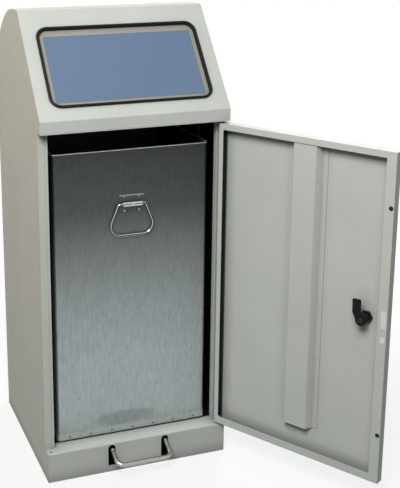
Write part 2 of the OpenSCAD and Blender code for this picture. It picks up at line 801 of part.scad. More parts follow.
module lock_housing() color(steel) at_lock() difference() {
    union() {
        translate([0, 0, -2.5]) cylinder(h = 2.5, r1 = lock_d / 2 + 2.2, r2 = lock_d / 2 + 3);
        cylinder(h = lock_end, r = lock_d / 2);
    }
    translate([0, 0, -2.5 - over]) cylinder(h = lock_end + 2.5 + 2 * over, r = barrel_r + fit_r);
}

module lock_nut() color(steel) at_lock() translate([0, 0, door_sheet]) difference() {
    cylinder(h = 5, r = (lock_d + 5) / 2 / cos(30), $fn = 6);
    translate([0, 0, -over]) cylinder(h = 5 + 2 * over, r = lock_d / 2 + fit_r);
}

module lock_barrel() color(steel) at_lock() difference() {
    union() {
        translate([0, 0, -2]) cylinder(h = cam_in + 2, r = barrel_r);
        translate([-drive / 2, -drive / 2, 0]) cube([drive, drive, cam_in + cam_t]);
    }
    translate([-0.6, -3, -2 - over]) cube([1.2, 6, 3 + over]);
    translate([0, 0, cam_in + cam_t - 8]) cylinder(h = 8 + over, r = 2 + fit_r);
}

// The cam's arm stands to one side of its hub
module latch_cam() color(rubber) at_lock() rotate([0, 0, cam_rest]) difference() {
    union() {
        translate([0, 0, lock_end + seat]) cylinder(h = cam_in + cam_t - lock_end - seat, r = cam_hub);
        translate([0, 0, cam_in]) linear_extrude(cam_t)
            soft_outline([[0, -cam_l], [cam_w, -cam_l], [cam_w, -cam_hub - 3], [cam_hub - 2, 3], [0, 3]],
                [cam_ease, cam_ease, cam_ease, 0, 0]);
    }
    translate([0, 0, lock_end]) cylinder(h = cam_in - lock_end, r = barrel_r + fit_r);
    rotate([0, 0, -cam_rest]) translate([-drive / 2 - fit_r, -drive / 2 - fit_r, 0])
        cube([drive + 2 * fit_r, drive + 2 * fit_r, cam_in + cam_t + over]);
}

module cam_screw() color(steel) at_lock() difference() {
    union() {
        translate([0, 0, cam_in + cam_t]) cylinder(h = 2.6, r1 = 5.5, r2 = 4);
        translate([0, 0, cam_in + cam_t - 7]) cylinder(h = 7, r = 2);
    }
    for (a = [0, 90])
        rotate([0, 0, a]) translate([-3, -0.5, cam_in + cam_t + 1.2]) cube([6, 1, 2]);
}

module pedal_bar() color(steel) difference() {
    bent_rod([
        [-slot_x, shaft_y, shaft_z], [-slot_x, knee_y, arm_z], [-slot_x, bar_y, bar_z],
        [slot_x, bar_y, bar_z], [slot_x, knee_y, arm_z], [slot_x, shaft_y, shaft_z]
    ], [0, bar_bend, bar_bend, bar_bend, bar_bend, 0], bar_d / 2);
    x_rod(-slot_x - bar_d, slot_x + bar_d, shaft_y, shaft_z, shaft_d / 2 + fit_r);
    block([-slot_x - bar_d, shaft_y, shaft_z - bar_d], [slot_x + bar_d, shaft_y + bar_d, shaft_z + bar_d]);
}

module pedal_shaft() color(steel)
    x_rod(shaft_bearings[0] - 6, link_x + link_t, shaft_y, shaft_z, shaft_d / 2);

module pedal_lever() color(steel) difference() {
    across(link_x, link_x + link_t)
        strap([shaft_y, shaft_z], [rod_y, shaft_z], shaft_d / 2 + 5, 8);
    x_rod(link_x - over, link_x + link_t + over, shaft_y, shaft_z, shaft_d / 2 + fit_r);
    x_rod(link_x - over, link_x + link_t + over, rod_y, shaft_z, link_pin_r + fit_r);
}

// A headed pin through a link and the pull rod's eye, closed by a spring clip
module link_pin(y, z) {
    end = rod_x + eye_t / 2 + eye_gap;
    x_rod(link_x - 1.5, link_x, y, z, link_pin_r + 2);
    x_rod(link_x, end + 1.6, y, z, link_pin_r);
    x_rod(end, end + 1, y, z, link_pin_r + 1.6);
}

module lever_pin() color(steel) link_pin(rod_y, shaft_z);

module crank_pin() color(steel) link_pin(crank_pin_y, crank_pin_z);

// The pull rod, flattened to an eye at each end; the upper eye is a slot for the crank's arc
module pull_rod() color(steel) difference() {
    neck = 16;
    union() {
        translate([rod_x, rod_y, shaft_z + neck - 2])
            cylinder(h = crank_pin_z - shaft_z - 2 * neck + 4, r = rod_d / 2);
        across(rod_x - eye_t / 2, rod_x + eye_t / 2) {
            strap([rod_y, shaft_z], [rod_y, shaft_z + neck + 4], 7, rod_d / 2 + 0.5);
            strap([rod_y - eye_play, crank_pin_z], [rod_y + eye_play, crank_pin_z],
                link_pin_r + eye_rise + 2.2, link_pin_r + eye_rise + 2.2);
            strap([rod_y, crank_pin_z], [rod_y, crank_pin_z - neck - 4], 5, rod_d / 2 + 0.5);
        }
    }
    x_rod(rod_x - eye_t, rod_x + eye_t, rod_y, shaft_z, link_pin_r + fit_r);
    across(rod_x - eye_t, rod_x + eye_t)
        strap([rod_y - eye_play, crank_pin_z], [rod_y + eye_play, crank_pin_z],
            link_pin_r + eye_rise, link_pin_r + eye_rise);
}

// The flap has folded edges; the upper one ends in a knuckle rolled round the axle
module flap_panel() color(paint_flap) on_slope() difference() {
    union() {
        block([-flap_w / 2, flap_low, flap_n - flap_t], [flap_w / 2, flap_top, flap_n]);
        for (s = [0, 1]) mirror([s, 0, 0])
            block([flap_w / 2 - flap_t, flap_low, flap_n - flap_edge],
                [flap_w / 2, flap_top, flap_n]);
        block([-flap_w / 2, flap_low, flap_n - flap_edge], [flap_w / 2, flap_low + flap_t, flap_n]);
        block([-flap_w / 2, flap_top - flap_t, hinge_n], [flap_w / 2, flap_top, flap_n]);
        x_rod(-flap_w / 2, flap_w / 2, hinge_s, hinge_n, knuckle_r);
    }
    x_rod(-flap_w / 2 - over, flap_w / 2 + over, hinge_s, hinge_n, axle_d / 2 + fit_r);
}

module flap_film() color(film_blue) on_slope() {
    s0 = flap_low + film_low;
    s1 = flap_top - film_high;
    translate([0, (s0 + s1) / 2, flap_n]) linear_extrude(film_t)
        rounded(flap_w - 2 * film_x, s1 - s0, film_r);
}

module flap_axle() color(steel)
    x_rod(-wall_x + seat, wall_x - seat, flap_y, flap_z, axle_d / 2);

module flap_crank() color(steel) difference() {
    across(link_x, link_x + link_t)
        strap([flap_y, flap_z], [crank_pin_y, crank_pin_z], axle_d / 2 + 4, link_pin_r + 3);
    x_rod(link_x - over, link_x + link_t + over, flap_y, flap_z, axle_d / 2 + fit_r);
    x_rod(link_x - over, link_x + link_t + over, crank_pin_y, crank_pin_z, link_pin_r + fit_r);
}

// The container's plan, grown or drawn in by an amount
module cont_plan(grow) translate([0, cont_mid])
    rounded(cont_w + 2 * grow, cont_d + 2 * grow, cont_r + grow);

function rivet_row(span) = let (n = floor((span / 2 - cont_r - 8) / rivet_pitch))
    [for (i = [-n:n]) i * rivet_pitch];

// Runs what is drawn at each rivet of the base pan, with +Z out of the sheet
module at_pan_rivets() {
    z = cont_z0 + pan_h / 2;
    for (s = [0, 1]) {
        for (x = rivet_row(cont_w)) translate([0, cont_mid, 0]) mirror([0, s, 0])
            translate([x, -cont_d / 2 - zinc_t, z]) rotate([90, 0, 0]) children();
        for (y = rivet_row(cont_d)) mirror([s, 0, 0])
            translate([cont_w / 2 + zinc_t, cont_mid + y, z]) rotate([0, 90, 0]) children();
    }
}

module pan_rivet_holes() at_pan_rivets() translate([0, 0, -2 * zinc_t - over])
    cylinder(h = 2 * zinc_t + 2 * over, r = small_rivet_r + fit_r, $fn = 24);

// Runs what is drawn at each rivet of the handle plate, with +Z out of the sheet
module at_grip_rivets() for (sx = [-1, 1], sz = [-1, 1])
    translate([sx * grip_rivet.x, cont_y0, grip_z + sz * grip_rivet.y]) rotate([90, 0, 0]) children();

module container_shell() color(zinc) difference() {
    union() {
        translate([0, 0, cont_z0 + zinc_t]) linear_extrude(cont_h - zinc_t) cont_plan(0);
        translate([0, 0, cont_z1 - rim_h]) linear_extrude(rim_h) cont_plan(zinc_t);
    }
    translate([0, 0, cont_z0]) linear_extrude(cont_h + over) cont_plan(-zinc_t);
    pan_rivet_holes();
    at_grip_rivets() translate([0, 0, -zinc_t - over])
        cylinder(h = zinc_t + 2 * over, r = small_rivet_r + fit_r, $fn = 24);
}

module container_base() color(zinc) difference() {
    translate([0, 0, cont_z0]) linear_extrude(pan_h) cont_plan(zinc_t);
    translate([0, 0, cont_z0 + zinc_t]) linear_extrude(pan_h) cont_plan(0);
    pan_rivet_holes();
}

module container_rivets() color(steel) at_pan_rivets()
    rivet(2 * zinc_t, small_rivet_r, small_head_r, small_head_h, $fn = 24);

// A pressed plate with two curls that hold the drop handle's upper bar
module handle_plate() color(zinc) difference() {
    union() {
        translate([0, cont_y0, grip_z]) rotate([90, 0, 0]) linear_extrude(grip_plate_t)
            rounded(grip_plate.x, grip_plate.y, 3);
        x_rod(-grip_knuckle, grip_knuckle, grip_y, grip_z, grip_d / 2 + fit_r + grip_plate_t);
    }
    x_rod(-grip_plate.x, grip_plate.x, grip_y, grip_z, grip_d / 2 + fit_r);
    block([-3, grip_y - 2 * grip_d, grip_z - 12], [3, cont_y0 - grip_plate_t, grip_z + 12]);
    at_grip_rivets() translate([0, 0, -over])
        cylinder(h = grip_plate_t + 2 * over, r = small_rivet_r + fit_r, $fn = 24);
}

module handle_rivets() color(steel) at_grip_rivets() translate([0, 0, grip_plate_t])
    rivet(grip_plate_t + zinc_t, small_rivet_r, small_head_r, small_head_h, $fn = 24);

module handle_bail() color(steel) bent_rod([
    [-grip_gap / 2, grip_y, grip_z], [-grip_top / 2, grip_y, grip_z],
    [-grip_low / 2, grip_y, grip_z - grip_l], [grip_low / 2, grip_y, grip_z - grip_l],
    [grip_top / 2, grip_y, grip_z], [grip_gap / 2, grip_y, grip_z]
], [0, grip_shoulder, grip_bend, grip_bend, grip_shoulder, 0], grip_d / 2);

body_shell();
hood_shell();
plinth_tray();
base_frame();
opening_trim();
hinge_pins();
flap_brackets();
flap_bushes();
hood_rivets();
frame_rivets();
shaft_brackets();
shaft_bushes();
rod_guides();
return_spring();
door_skin();
door_stiffener();
door_bumpers();
hinge_plates();
hinge_bushes();
lock_housing();
lock_nut();
lock_barrel();
latch_cam();
cam_screw();
pedal_bar();
pedal_shaft();
pedal_lever();
lever_pin();
pull_rod();
flap_panel();
flap_film();
flap_axle();
flap_crank();
crank_pin();
container_shell();
container_base();
container_rivets();
handle_plate();
handle_rivets();
handle_bail();
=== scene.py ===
"""Pedal recycling bin: finishes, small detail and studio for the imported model.

Lengths are in metres, in the model's own frame: +Z up, the front faces -Y and the door is hung on
the right. The file is laid out as an add-on, and is run as a script.
"""

import math

import bmesh
import bpy
from bpy.props import FloatProperty, FloatVectorProperty, IntProperty, PointerProperty
from mathutils import Matrix, Vector


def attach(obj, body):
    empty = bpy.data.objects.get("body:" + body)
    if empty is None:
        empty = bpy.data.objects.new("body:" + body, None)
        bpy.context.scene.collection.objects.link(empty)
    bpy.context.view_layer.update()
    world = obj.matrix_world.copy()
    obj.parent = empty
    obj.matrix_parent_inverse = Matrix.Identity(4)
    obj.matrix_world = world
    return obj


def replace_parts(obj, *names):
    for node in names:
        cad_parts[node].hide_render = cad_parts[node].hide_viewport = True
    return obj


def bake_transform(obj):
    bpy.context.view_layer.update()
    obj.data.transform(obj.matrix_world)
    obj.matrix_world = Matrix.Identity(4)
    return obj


bl_info = {
    "name": "Pedal recycling bin",
    "version": (1, 0, 0),
    "blender": (4, 5, 0),
    "location": "View3D > Sidebar > Bin",
    "description": "Finishes, rivets, rubber trim and studio of a sheet-steel pedal bin",
    "category": "Object",
}

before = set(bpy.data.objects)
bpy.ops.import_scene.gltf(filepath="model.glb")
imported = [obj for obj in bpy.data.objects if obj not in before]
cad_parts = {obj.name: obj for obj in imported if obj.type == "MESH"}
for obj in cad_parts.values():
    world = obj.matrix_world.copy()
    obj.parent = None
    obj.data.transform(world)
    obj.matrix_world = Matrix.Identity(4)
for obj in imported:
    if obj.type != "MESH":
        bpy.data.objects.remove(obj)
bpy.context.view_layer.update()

# Planes and angles of the steelwork, as the solids have them
HALF_WIDTH = 0.200
FRONT_Y = -0.190
BACK_Y = 0.190
SHEET = 0.0015
SEAM_Z = 0.750
HEADER_Z = 0.748
BROW_Z = 0.774
TOP_Z = 0.970
SLOPE_RUN = 0.166
SLOPE = math.atan2(TOP_Z - BROW_Z, SLOPE_RUN)
HOOD_RADIUS = 0.185
DECK_Z = 0.066
# Where the painted shade on the plinth's deck begins, inside the cabinet
DECK_SHADE_Y = -0.1495
STILE_Y = -0.168
STILE_LIP = 0.015

# How near to a face a test on a place may come
NEAR = 0.0001

# The mouth: its middle, up the slope from the brow, and the loop that the trim's middle follows
MOUTH_MIDDLE = 0.1205
TRIM_LOOP = (0.3385, 0.1805)
TRIM_CORNER = 0.02125
TRIM_HEIGHT = 0.0058
TRIM_ROUNDING = 0.0026

# The door as it is when shut, the line that it turns on, and the painted shade in its fold on that side,
# which starts at the first of two places across and is full at the second
DOOR_ANGLE = math.radians(121)
HINGE = Vector((0.1915, -0.182, 0.0))
DOOR_HALF = 0.197
DOOR_DEPTH = 0.020
DOOR_SHEET = 0.0012
FOLD_SHADE_X = (0.1878, 0.1925)

# The window's upper free corner, and how far along each edge the solid's corner is cut off
WINDOW_CORNER = (-0.177, 0.731)
WINDOW_CUT = 0.008

# On the door's free lip: the buffers, with the radius and height of their heads, and the labels
BUFFER_X = -0.191
BUFFERS_Z = (0.174, 0.637)
BUFFER_HEAD = (0.0045, 0.0016)
LABEL_X = -0.1893
LABEL_THICKNESS = 0.00025
LABEL_EDGE = 0.00008
LABEL_CORNER = 0.0012
# Each label's piece, its height on the lip, its width and its length
LABELS = (
    ("door_label_long", 0.4155, 0.011, 0.036),
    ("door_label_short", 0.374, 0.010, 0.012),
)

# The container: half its width and depth, and how far its rim's bead stands above the sheet
CONTAINER_FRONT = -0.150
CONTAINER_MIDDLE = 0.005
CONTAINER_HALF = (0.167, 0.155)
CONTAINER_TOP = 0.6973
CONTAINER_CORNER = 0.006
RIM_PROUD = 0.0002

# Painted reflection and painted shade on bare zinc: the heights between which its tones run, and a darker
# patch of painted reflection low on the container's front, with its middle across and up and half its width
# and height
TONES_Z = (0.066, 0.698)
PEDAL_SHADE = (-0.018, 0.101)
PEDAL_SHADE_HALF = (0.066, 0.016)

# The drop handle of bent rod in the knuckle of its plate: the gap between its ends, its width at
# the shoulders and low down, its drop, and the radii of its bends
HANDLE_ROD = 0.0062
HANDLE_Z = 0.582
HANDLE_Y = CONTAINER_FRONT - 0.0046
HANDLE_GAP = 0.007
HANDLE_TOP = 0.0586
HANDLE_LOW = 0.112
HANDLE_DROP = 0.067
HANDLE_SHOULDER = 0.005
HANDLE_BEND = 0.022
KNUCKLE_X = (-0.0203, -0.0032, 0.0032, 0.0203)
KNUCKLE_Y = HANDLE_Y - 0.0022
KNUCKLE_RISE = 0.0024
KNUCKLE_BEAD = 0.0052

# Rivets: where they are, and the radius and height of their heads
HOOD_RIVETS = ((-0.006, 0.9175), (0.028, 0.940))
FRAME_RIVETS_Y = (-0.130, 0.0, 0.130)
FRAME_RIVET_Z = 0.020
LARGE_HEAD = (0.0034, 0.00098)
SMALL_HEAD_HEIGHT = 0.0009
PAN_RIVET_Z = 0.0748
PAN_MARGIN = 0.014
PAN_SHEET = 0.001
PLATE_SHEET = 0.0012
PLATE_RIVETS = (0.016, 0.0155)

# The pedal's bar, from its shaft at the back to its bends and its foot bar before the plinth
PEDAL_BAR = 0.009
PEDAL_HALF = 0.060
PEDAL_BEND = 0.014
SHAFT = (0.130, 0.045)
KNEE = (-0.197, 0.053)
FOOT = (-0.232, 0.036)

# The return spring round the shaft: its coil from end to end, and the bends of its two legs,
# of which the first rests under the deck and the second bears on the pedal's bar
SPRING_WIRE = 0.0022
SPRING_TURNS = 7.25
SPRING_RADIUS = 0.0086
SPRING_STEPS = 24
SPRING_X = (0.0322, 0.0525)
SPRING_REST = ((0.0322, 0.164, 0.0631), (0.0322, 0.142, 0.0556))
SPRING_HOOK = ((0.0525, 0.1174, 0.0371), (0.0545, 0.1124, 0.0381), (0.063, 0.0954, 0.0396))

# A round bar is a square one with its corners rounded until a flat of twice this is left
BAR_FLAT = 0.00005

# Each lamp's name, place, target, size, power and tint
LAMPS = (
    ("Key light", (-1.1, -1.95, 2.55), (0.0, -0.1, 0.6), 1.2, 75.0, "FFFFFE"),
    ("Top light", (0.2, 0.2, 4.4), (0.0, 0.0, 0.8), 1.6, 14.0, "F8FAFF"),
    ("Side light", (-0.9, 0.8, 1.8), (-0.2, 0.0, 0.9), 0.6, 8.5, "FFD4A2"),
    ("Back light", (2.2, 2.3, 1.7), (0.1, 0.0, 0.5), 1.8, 72.0, "FAFCFF"),
)

# The photograph's view: its focal length in pixels of a frame 488 px tall, its turns in degrees
FRAME_HEIGHT = 488
FOCAL_LENGTH = 1038.2066
SENSOR = 36.0
CAMERA_SHIFT = (0.12, -0.18)
CAMERA_YAW = 19.6629
CAMERA_PITCH = 14.4223
CAMERA_ROLL = -0.0329
CAMERA_PLACE = (-0.6686346, -2.0806803, 1.2066193)


def linear(code):
    """Linear RGBA of an sRGB hex colour."""
    out = []
    for i in (0, 2, 4):
        c = int(code[i:i + 2], 16) / 255
        out.append(c / 12.92 if c <= 0.04045 else ((c + 0.055) / 1.055) ** 2.4)
    return (*out, 1.0)


def rgb(code):
    """Linear RGB of an sRGB hex colour, for a property or a lamp."""
    return linear(code)[:3]


def toned(colour, gain):
    """A linear colour made lighter or darker."""
    return (*[min(c * gain, 1.0) for c in colour[:3]], 1.0)


def grey(level):
    """A linear grey as RGBA."""
    return (level, level, level, 1.0)


def slope_frame():
    """The hood slope's own frame: X across, Y up the slope, Z out from its face."""
    return Matrix.Translation((0, FRONT_Y, BROW_Z)) @ Matrix.Rotation(SLOPE, 4, "X")


def door_frame():
    """Takes a point of the closed door to where the open door has it."""
    turn = Matrix.Rotation(DOOR_ANGLE, 4, "Z")
    return Matrix.Translation(HINGE) @ turn @ Matrix.Translation(-HINGE)


# Node trees


def add(tree, kind, inputs=None, **settings):
    """Adds a node with its settings and its inputs, each a value or a socket to link from."""
    node = tree.nodes.new(kind)
    for key, value in settings.items():
        setattr(node, key, value)
    for key, value in (inputs or {}).items():
        if isinstance(value, bpy.types.NodeSocket):
            tree.links.new(value, node.inputs[key])
        else:
            node.inputs[key].default_value = value
    return node


def new_finish(name):
    """An empty material's tree, and the point's place on the object in metres."""
    old = bpy.data.materials.get(name)
    if old:
        bpy.data.materials.remove(old)
    material = bpy.data.materials.new(name)
    material.use_nodes = True
    tree = material.node_tree
    tree.nodes.clear()
    return tree, add(tree, "ShaderNodeTexCoord").outputs["Object"]


def surfaced(tree, relief, inputs):
    """Gives a material its surface shader, with the shader's inputs and a relief."""
    surface = add(tree, "ShaderNodeBsdfPrincipled", {**inputs, "Normal": relief.outputs["Normal"]})
    add(tree, "ShaderNodeOutputMaterial", {"Surface": surface.outputs["BSDF"]})


def mottled(tree, place, scale, detail, low=0.0, high=1.0):
    """Clouds over the surface: the noise as it is, and its middle range spread from low to high."""
    noise = add(tree, "ShaderNodeTexNoise", {
        "Vector": place, "Scale": scale, "Detail": detail}).outputs["Fac"]
    spread = add(tree, "ShaderNodeMapRange", {
        "Value": noise, "From Min": 0.3, "From Max": 0.7, "To Min": low, "To Max": high})
    return noise, spread.outputs["Result"]


def clouded(tree, place, colour, scale, detail, low, high):
    """A colour that drifts in clouds between a darker tone of it and a lighter one."""
    return add(tree, "ShaderNodeMix", {
        0: mottled(tree, place, scale, detail)[1], 6: toned(colour, low), 7: toned(colour, high),
    }, data_type="RGBA").outputs[2]


def seen_directly(tree):
    """1 for what the camera sees, also in a mirror or through glass, else 0."""
    rays = add(tree, "ShaderNodeLightPath").outputs
    seen = add(tree, "ShaderNodeMath", {
        0: rays["Is Camera Ray"], 1: rays["Is Glossy Ray"]}, operation="MAXIMUM").outputs[0]
    return add(tree, "ShaderNodeMath", {
        0: seen, 1: rays["Is Transmission Ray"]}, operation="MAXIMUM").outputs[0]


def where_all(tree, tests):
    """1 where every test holds, else 0.
    A test is a grey value, LESS_THAN or GREATER_THAN, and a limit."""
    share = None
    for value, kind, limit in tests:
        step = add(tree, "ShaderNodeMath", {0: value, 1: limit}, operation=kind).outputs[0]
        if share is not None:
            step = add(tree, "ShaderNodeMath", {0: share, 1: step}, operation="MULTIPLY").outputs[0]
        share = step
    return share


def inner_skin_of_body(tree, place):
    """Tells the cabinet's inner faces, behind the stiles' lips, from its outer ones."""
    axes = add(tree, "ShaderNodeSeparateXYZ", {"Vector": place}).outputs
    across = add(tree, "ShaderNodeMath", {0: axes["X"]}, operation="ABSOLUTE").outputs[0]
    return where_all(tree, [
        (across, "LESS_THAN", HALF_WIDTH - SHEET / 2),
        (axes["Y"], "LESS_THAN", BACK_Y - SHEET / 2),
        (axes["Y"], "GREATER_THAN", STILE_Y + STILE_LIP - NEAR),
        (axes["Z"], "GREATER_THAN", DECK_Z - SHEET),
    ])


def inner_skin_of_hood(tree, place):
    """Tells the hood's inner faces from its outer ones: under the slope, inside the round back."""
    skin = SHEET / 2
    axes = add(tree, "ShaderNodeSeparateXYZ", {"Vector": place}).outputs
    across = add(tree, "ShaderNodeMath", {0: axes["X"]}, operation="ABSOLUTE").outputs[0]
    from_brow = add(tree, "ShaderNodeVectorMath", {
        0: place, 1: (0, FRONT_Y, BROW_Z)}, operation="SUBTRACT").outputs[0]
    out = add(tree, "ShaderNodeVectorMath", {
        0: from_brow, 1: (0, -math.sin(SLOPE), math.cos(SLOPE))}, operation="DOT_PRODUCT").outputs["Value"]
    from_middle = add(tree, "ShaderNodeVectorMath", {
        0: place, 1: (0, BACK_Y - HOOD_RADIUS, TOP_Z - HOOD_RADIUS)}, operation="SUBTRACT").outputs[0]
    past = add(tree, "ShaderNodeVectorMath", {0: from_middle, 1: (0, 0, 0)}, operation="MAXIMUM").outputs[0]
    spoke = add(tree, "ShaderNodeVectorMath", {0: past, 1: (0, 1, 1)}, operation="MULTIPLY").outputs[0]
    reach = add(tree, "ShaderNodeVectorMath", {0: spoke}, operation="LENGTH").outputs["Value"]
    return where_all(tree, [
        (across, "LESS_THAN", HALF_WIDTH - skin),
        (out, "LESS_THAN", -skin),
        (reach, "LESS_THAN", HOOD_RADIUS - skin),
        (axes["Y"], "GREATER_THAN", FRONT_Y + skin),
        (axes["Z"], "GREATER_THAN", HEADER_Z + 2 * NEAR),
    ])


def behind_the_stiles(tree, place):
    """Tells the part of the plinth's deck that lies inside the cabinet."""
    axes = add(tree, "ShaderNodeSeparateXYZ", {"Vector": place}).outputs
    return where_all(tree, [(axes["Y"], "GREATER_THAN", DECK_SHADE_Y)])


def behind_the_hinge_lip(tree, place):
    """Tells the inside of the fold on the door's hinge side, with painted shade that is darkest at its wall.
    """
    back = Matrix.Rotation(-DOOR_ANGLE, 3, "Z")
    shut = add(tree, "ShaderNodeMapping", {
        "Vector": place, "Location": HINGE - back @ HINGE, "Rotation": (0.0, 0.0, -DOOR_ANGLE)}).outputs[0]
    axes = add(tree, "ShaderNodeSeparateXYZ", {"Vector": shut}).outputs
    skin = DOOR_SHEET / 2
    start, full = FOLD_SHADE_X
    inside = where_all(tree, [
        (axes["X"], "GREATER_THAN", start),
        (axes["X"], "LESS_THAN", DOOR_HALF - skin),
        (axes["Y"], "GREATER_THAN", FRONT_Y + skin),
        (axes["Y"], "LESS_THAN", FRONT_Y + DOOR_DEPTH - skin),
    ])
    fold_shade = add(tree, "ShaderNodeMapRange", {
        "Value": axes["X"], "From Min": start, "From Max": full, "To Min": 0.72, "To Max": 1.0})
    return add(tree, "ShaderNodeMath", {
        0: inside, 1: fold_shade.outputs["Result"]}, operation="MULTIPLY").outputs[0]


# Finishes


def powder_coat(name, colour, inner_shade=None, inner_skin=None):
    """Powder-coated sheet steel: an even satin colour over the faint ripple that melted powder leaves.
    The real ripple is about 2 mm from crest to crest, and is drawn at 4 mm so that it can show."""
    tree, place = new_finish(name)
    paint = clouded(tree, place, colour, 9.0, 3.0, 0.965, 1.02)
    # Painted shade: the colour is darkened by ambient occlusion in folds, creases and under lips, where shade
    # falls
    open_air = add(tree, "ShaderNodeAmbientOcclusion", {"Distance": 0.032}, samples=8).outputs["AO"]
    crease_shade = add(tree, "ShaderNodeMapRange", {
        "Value": open_air, "From Min": 0.3, "From Max": 1.0, "To Min": 0.52, "To Max": 1.0}).outputs["Result"]
    paint = add(tree, "ShaderNodeVectorMath", {0: paint, "Scale": crease_shade}, operation="SCALE").outputs[0]
    # The thin dark joint where the hood's edge stands on the cabinet's
    height = add(tree, "ShaderNodeSeparateXYZ", {"Vector": place}).outputs["Z"]
    joint = where_all(tree, [
        (height, "GREATER_THAN", SEAM_Z - 0.0007), (height, "LESS_THAN", SEAM_Z + 0.0007)])
    paint = add(tree, "ShaderNodeMix", {
        0: joint, 6: paint, 7: toned(colour, 0.82)}, data_type="RGBA").outputs[2]
    # Painted shade: the inner skin, which lies in shade, is painted the near-black inner shade colour
    if inner_skin:
        paint = add(tree, "ShaderNodeMix", {
            0: inner_skin(tree, place), 6: paint, 7: inner_shade}, data_type="RGBA").outputs[2]
    ripple = add(tree, "ShaderNodeTexNoise", {"Vector": place, "Scale": 250.0, "Detail": 1.0})
    # Bent sheet is a little round along each fold, which catches a line of light
    fold = add(tree, "ShaderNodeBevel", {"Radius": 0.001}, samples=4).outputs["Normal"]
    relief = add(tree, "ShaderNodeBump", {
        "Strength": 0.25, "Distance": 0.00006, "Height": ripple.outputs["Fac"], "Normal": fold})
    surfaced(tree, relief, {
        "Base Color": paint, "Roughness": mottled(tree, place, 60.0, 2.0, 0.55, 0.63)[1],
        "IOR": 1.5, "Specular IOR Level": 0.28})


def vinyl_film(name, colour):
    """Self-adhesive vinyl film: one flat colour with a soft sheen, and long, very shallow waves."""
    tree, place = new_finish(name)
    waves = add(tree, "ShaderNodeTexNoise", {"Vector": place, "Scale": 18.0, "Detail": 0.0})
    relief = add(tree, "ShaderNodeBump", {
        "Strength": 0.3, "Distance": 0.0002, "Height": waves.outputs["Fac"]})
    surfaced(tree, relief, {
        "Base Color": clouded(tree, place, colour, 7.0, 1.0, 0.97, 1.03),
        "Roughness": mottled(tree, place, 300.0, 2.0, 0.46, 0.54)[1],
        "IOR": 1.46, "Specular IOR Level": 0.35})


def galvanised_sheet(name, tones, metal, mirrored=1.0):
    """Hot-dip galvanised sheet: crystal patches of about 10 mm under long upright rolling marks.
    The marks are a fraction of a millimetre wide, and are drawn at 1.5 mm so that they show.
    The tones run up the sheet by height; on the container they are painted reflection and painted shade,
    light low down where the sheet mirrors the floor and dark at the top, for the dark room it mirrors and the
    shade under the hood."""
    tree, place = new_finish(name)
    height = add(tree, "ShaderNodeSeparateXYZ", {"Vector": place}).outputs["Z"]
    low, high = TONES_Z
    rise = add(tree, "ShaderNodeMapRange", {"Value": height, "From Min": low, "From Max": high})
    ramp = add(tree, "ShaderNodeValToRGB", {"Fac": rise.outputs["Result"]})
    stops = ramp.color_ramp.elements
    while len(stops) < len(tones):
        stops.new(0.5)
    for stop, (at, code) in zip(stops, tones):
        stop.position = at
        stop.color = linear(code)
    stretched = add(tree, "ShaderNodeMapping", {"Vector": place, "Scale": (650.0, 650.0, 55.0)})
    marks = add(tree, "ShaderNodeTexNoise", {
        "Vector": stretched.outputs[0], "Scale": 1.0, "Detail": 3.0, "Roughness": 0.6}).outputs["Fac"]
    cells = add(tree, "ShaderNodeMapping", {"Vector": place, "Scale": (110.0, 110.0, 60.0)})
    crystals = add(tree, "ShaderNodeTexVoronoi", {
        "Vector": cells.outputs[0], "Scale": 1.0}, feature="F1").outputs["Color"]
    patch = add(tree, "ShaderNodeMapRange", {
        "Value": add(tree, "ShaderNodeSeparateColor", {"Color": crystals}).outputs[0],
        "To Min": 0.96, "To Max": 1.04})
    # Painted reflection: a darker patch low on the front, for the dark space under the pedal that the sheet
    # mirrors
    x, z = PEDAL_SHADE
    half_x, half_z = PEDAL_SHADE_HALF
    centred = add(tree, "ShaderNodeMapping", {
        "Vector": place, "Location": (-x / half_x, 0.0, -z / half_z), "Scale": (1 / half_x, 0.0, 1 / half_z)})
    away = add(tree, "ShaderNodeVectorMath", {0: centred.outputs[0]}, operation="LENGTH").outputs["Value"]
    dull = add(tree, "ShaderNodeMapRange", {
        "Value": away, "From Min": 0.7, "From Max": 1.25, "To Min": mirrored, "To Max": 1.0,
    }, interpolation_type="SMOOTHSTEP").outputs["Result"]
    streak = add(tree, "ShaderNodeMapRange", {
        "Value": marks, "From Min": 0.3, "From Max": 0.7, "To Min": 0.84, "To Max": 1.16})
    grain = add(tree, "ShaderNodeMath", {
        0: streak.outputs["Result"], 1: patch.outputs["Result"]}, operation="MULTIPLY").outputs[0]
    grain = add(tree, "ShaderNodeMath", {0: grain, 1: dull}, operation="MULTIPLY").outputs[0]
    shine = add(tree, "ShaderNodeMapRange", {
        "Value": marks, "From Min": 0.3, "From Max": 0.7, "To Min": 0.42, "To Max": 0.58})
    relief = add(tree, "ShaderNodeBump", {"Strength": 0.35, "Distance": 0.00008, "Height": marks})
    surfaced(tree, relief, {
        "Base Color": add(tree, "ShaderNodeVectorMath", {
            0: ramp.outputs["Color"], "Scale": grain}, operation="SCALE").outputs[0],
        "Metallic": metal, "Roughness": shine.outputs["Result"]})


def plated_steel(name, colour, rough):
    """Zinc-plated and passivated steel, drawn or turned: bare metal with a soft, slightly cloudy shine."""
    tree, place = new_finish(name)
    fine, shine = mottled(tree, place, 300.0, 2.0, rough - 0.06, rough + 0.08)
    relief = add(tree, "ShaderNodeBump", {"Strength": 0.2, "Distance": 0.00004, "Height": fine})
    surfaced(tree, relief, {
        "Base Color": clouded(tree, place, colour, 120.0, 3.0, 0.88, 1.08),
        "Metallic": 1.0, "Roughness": shine})


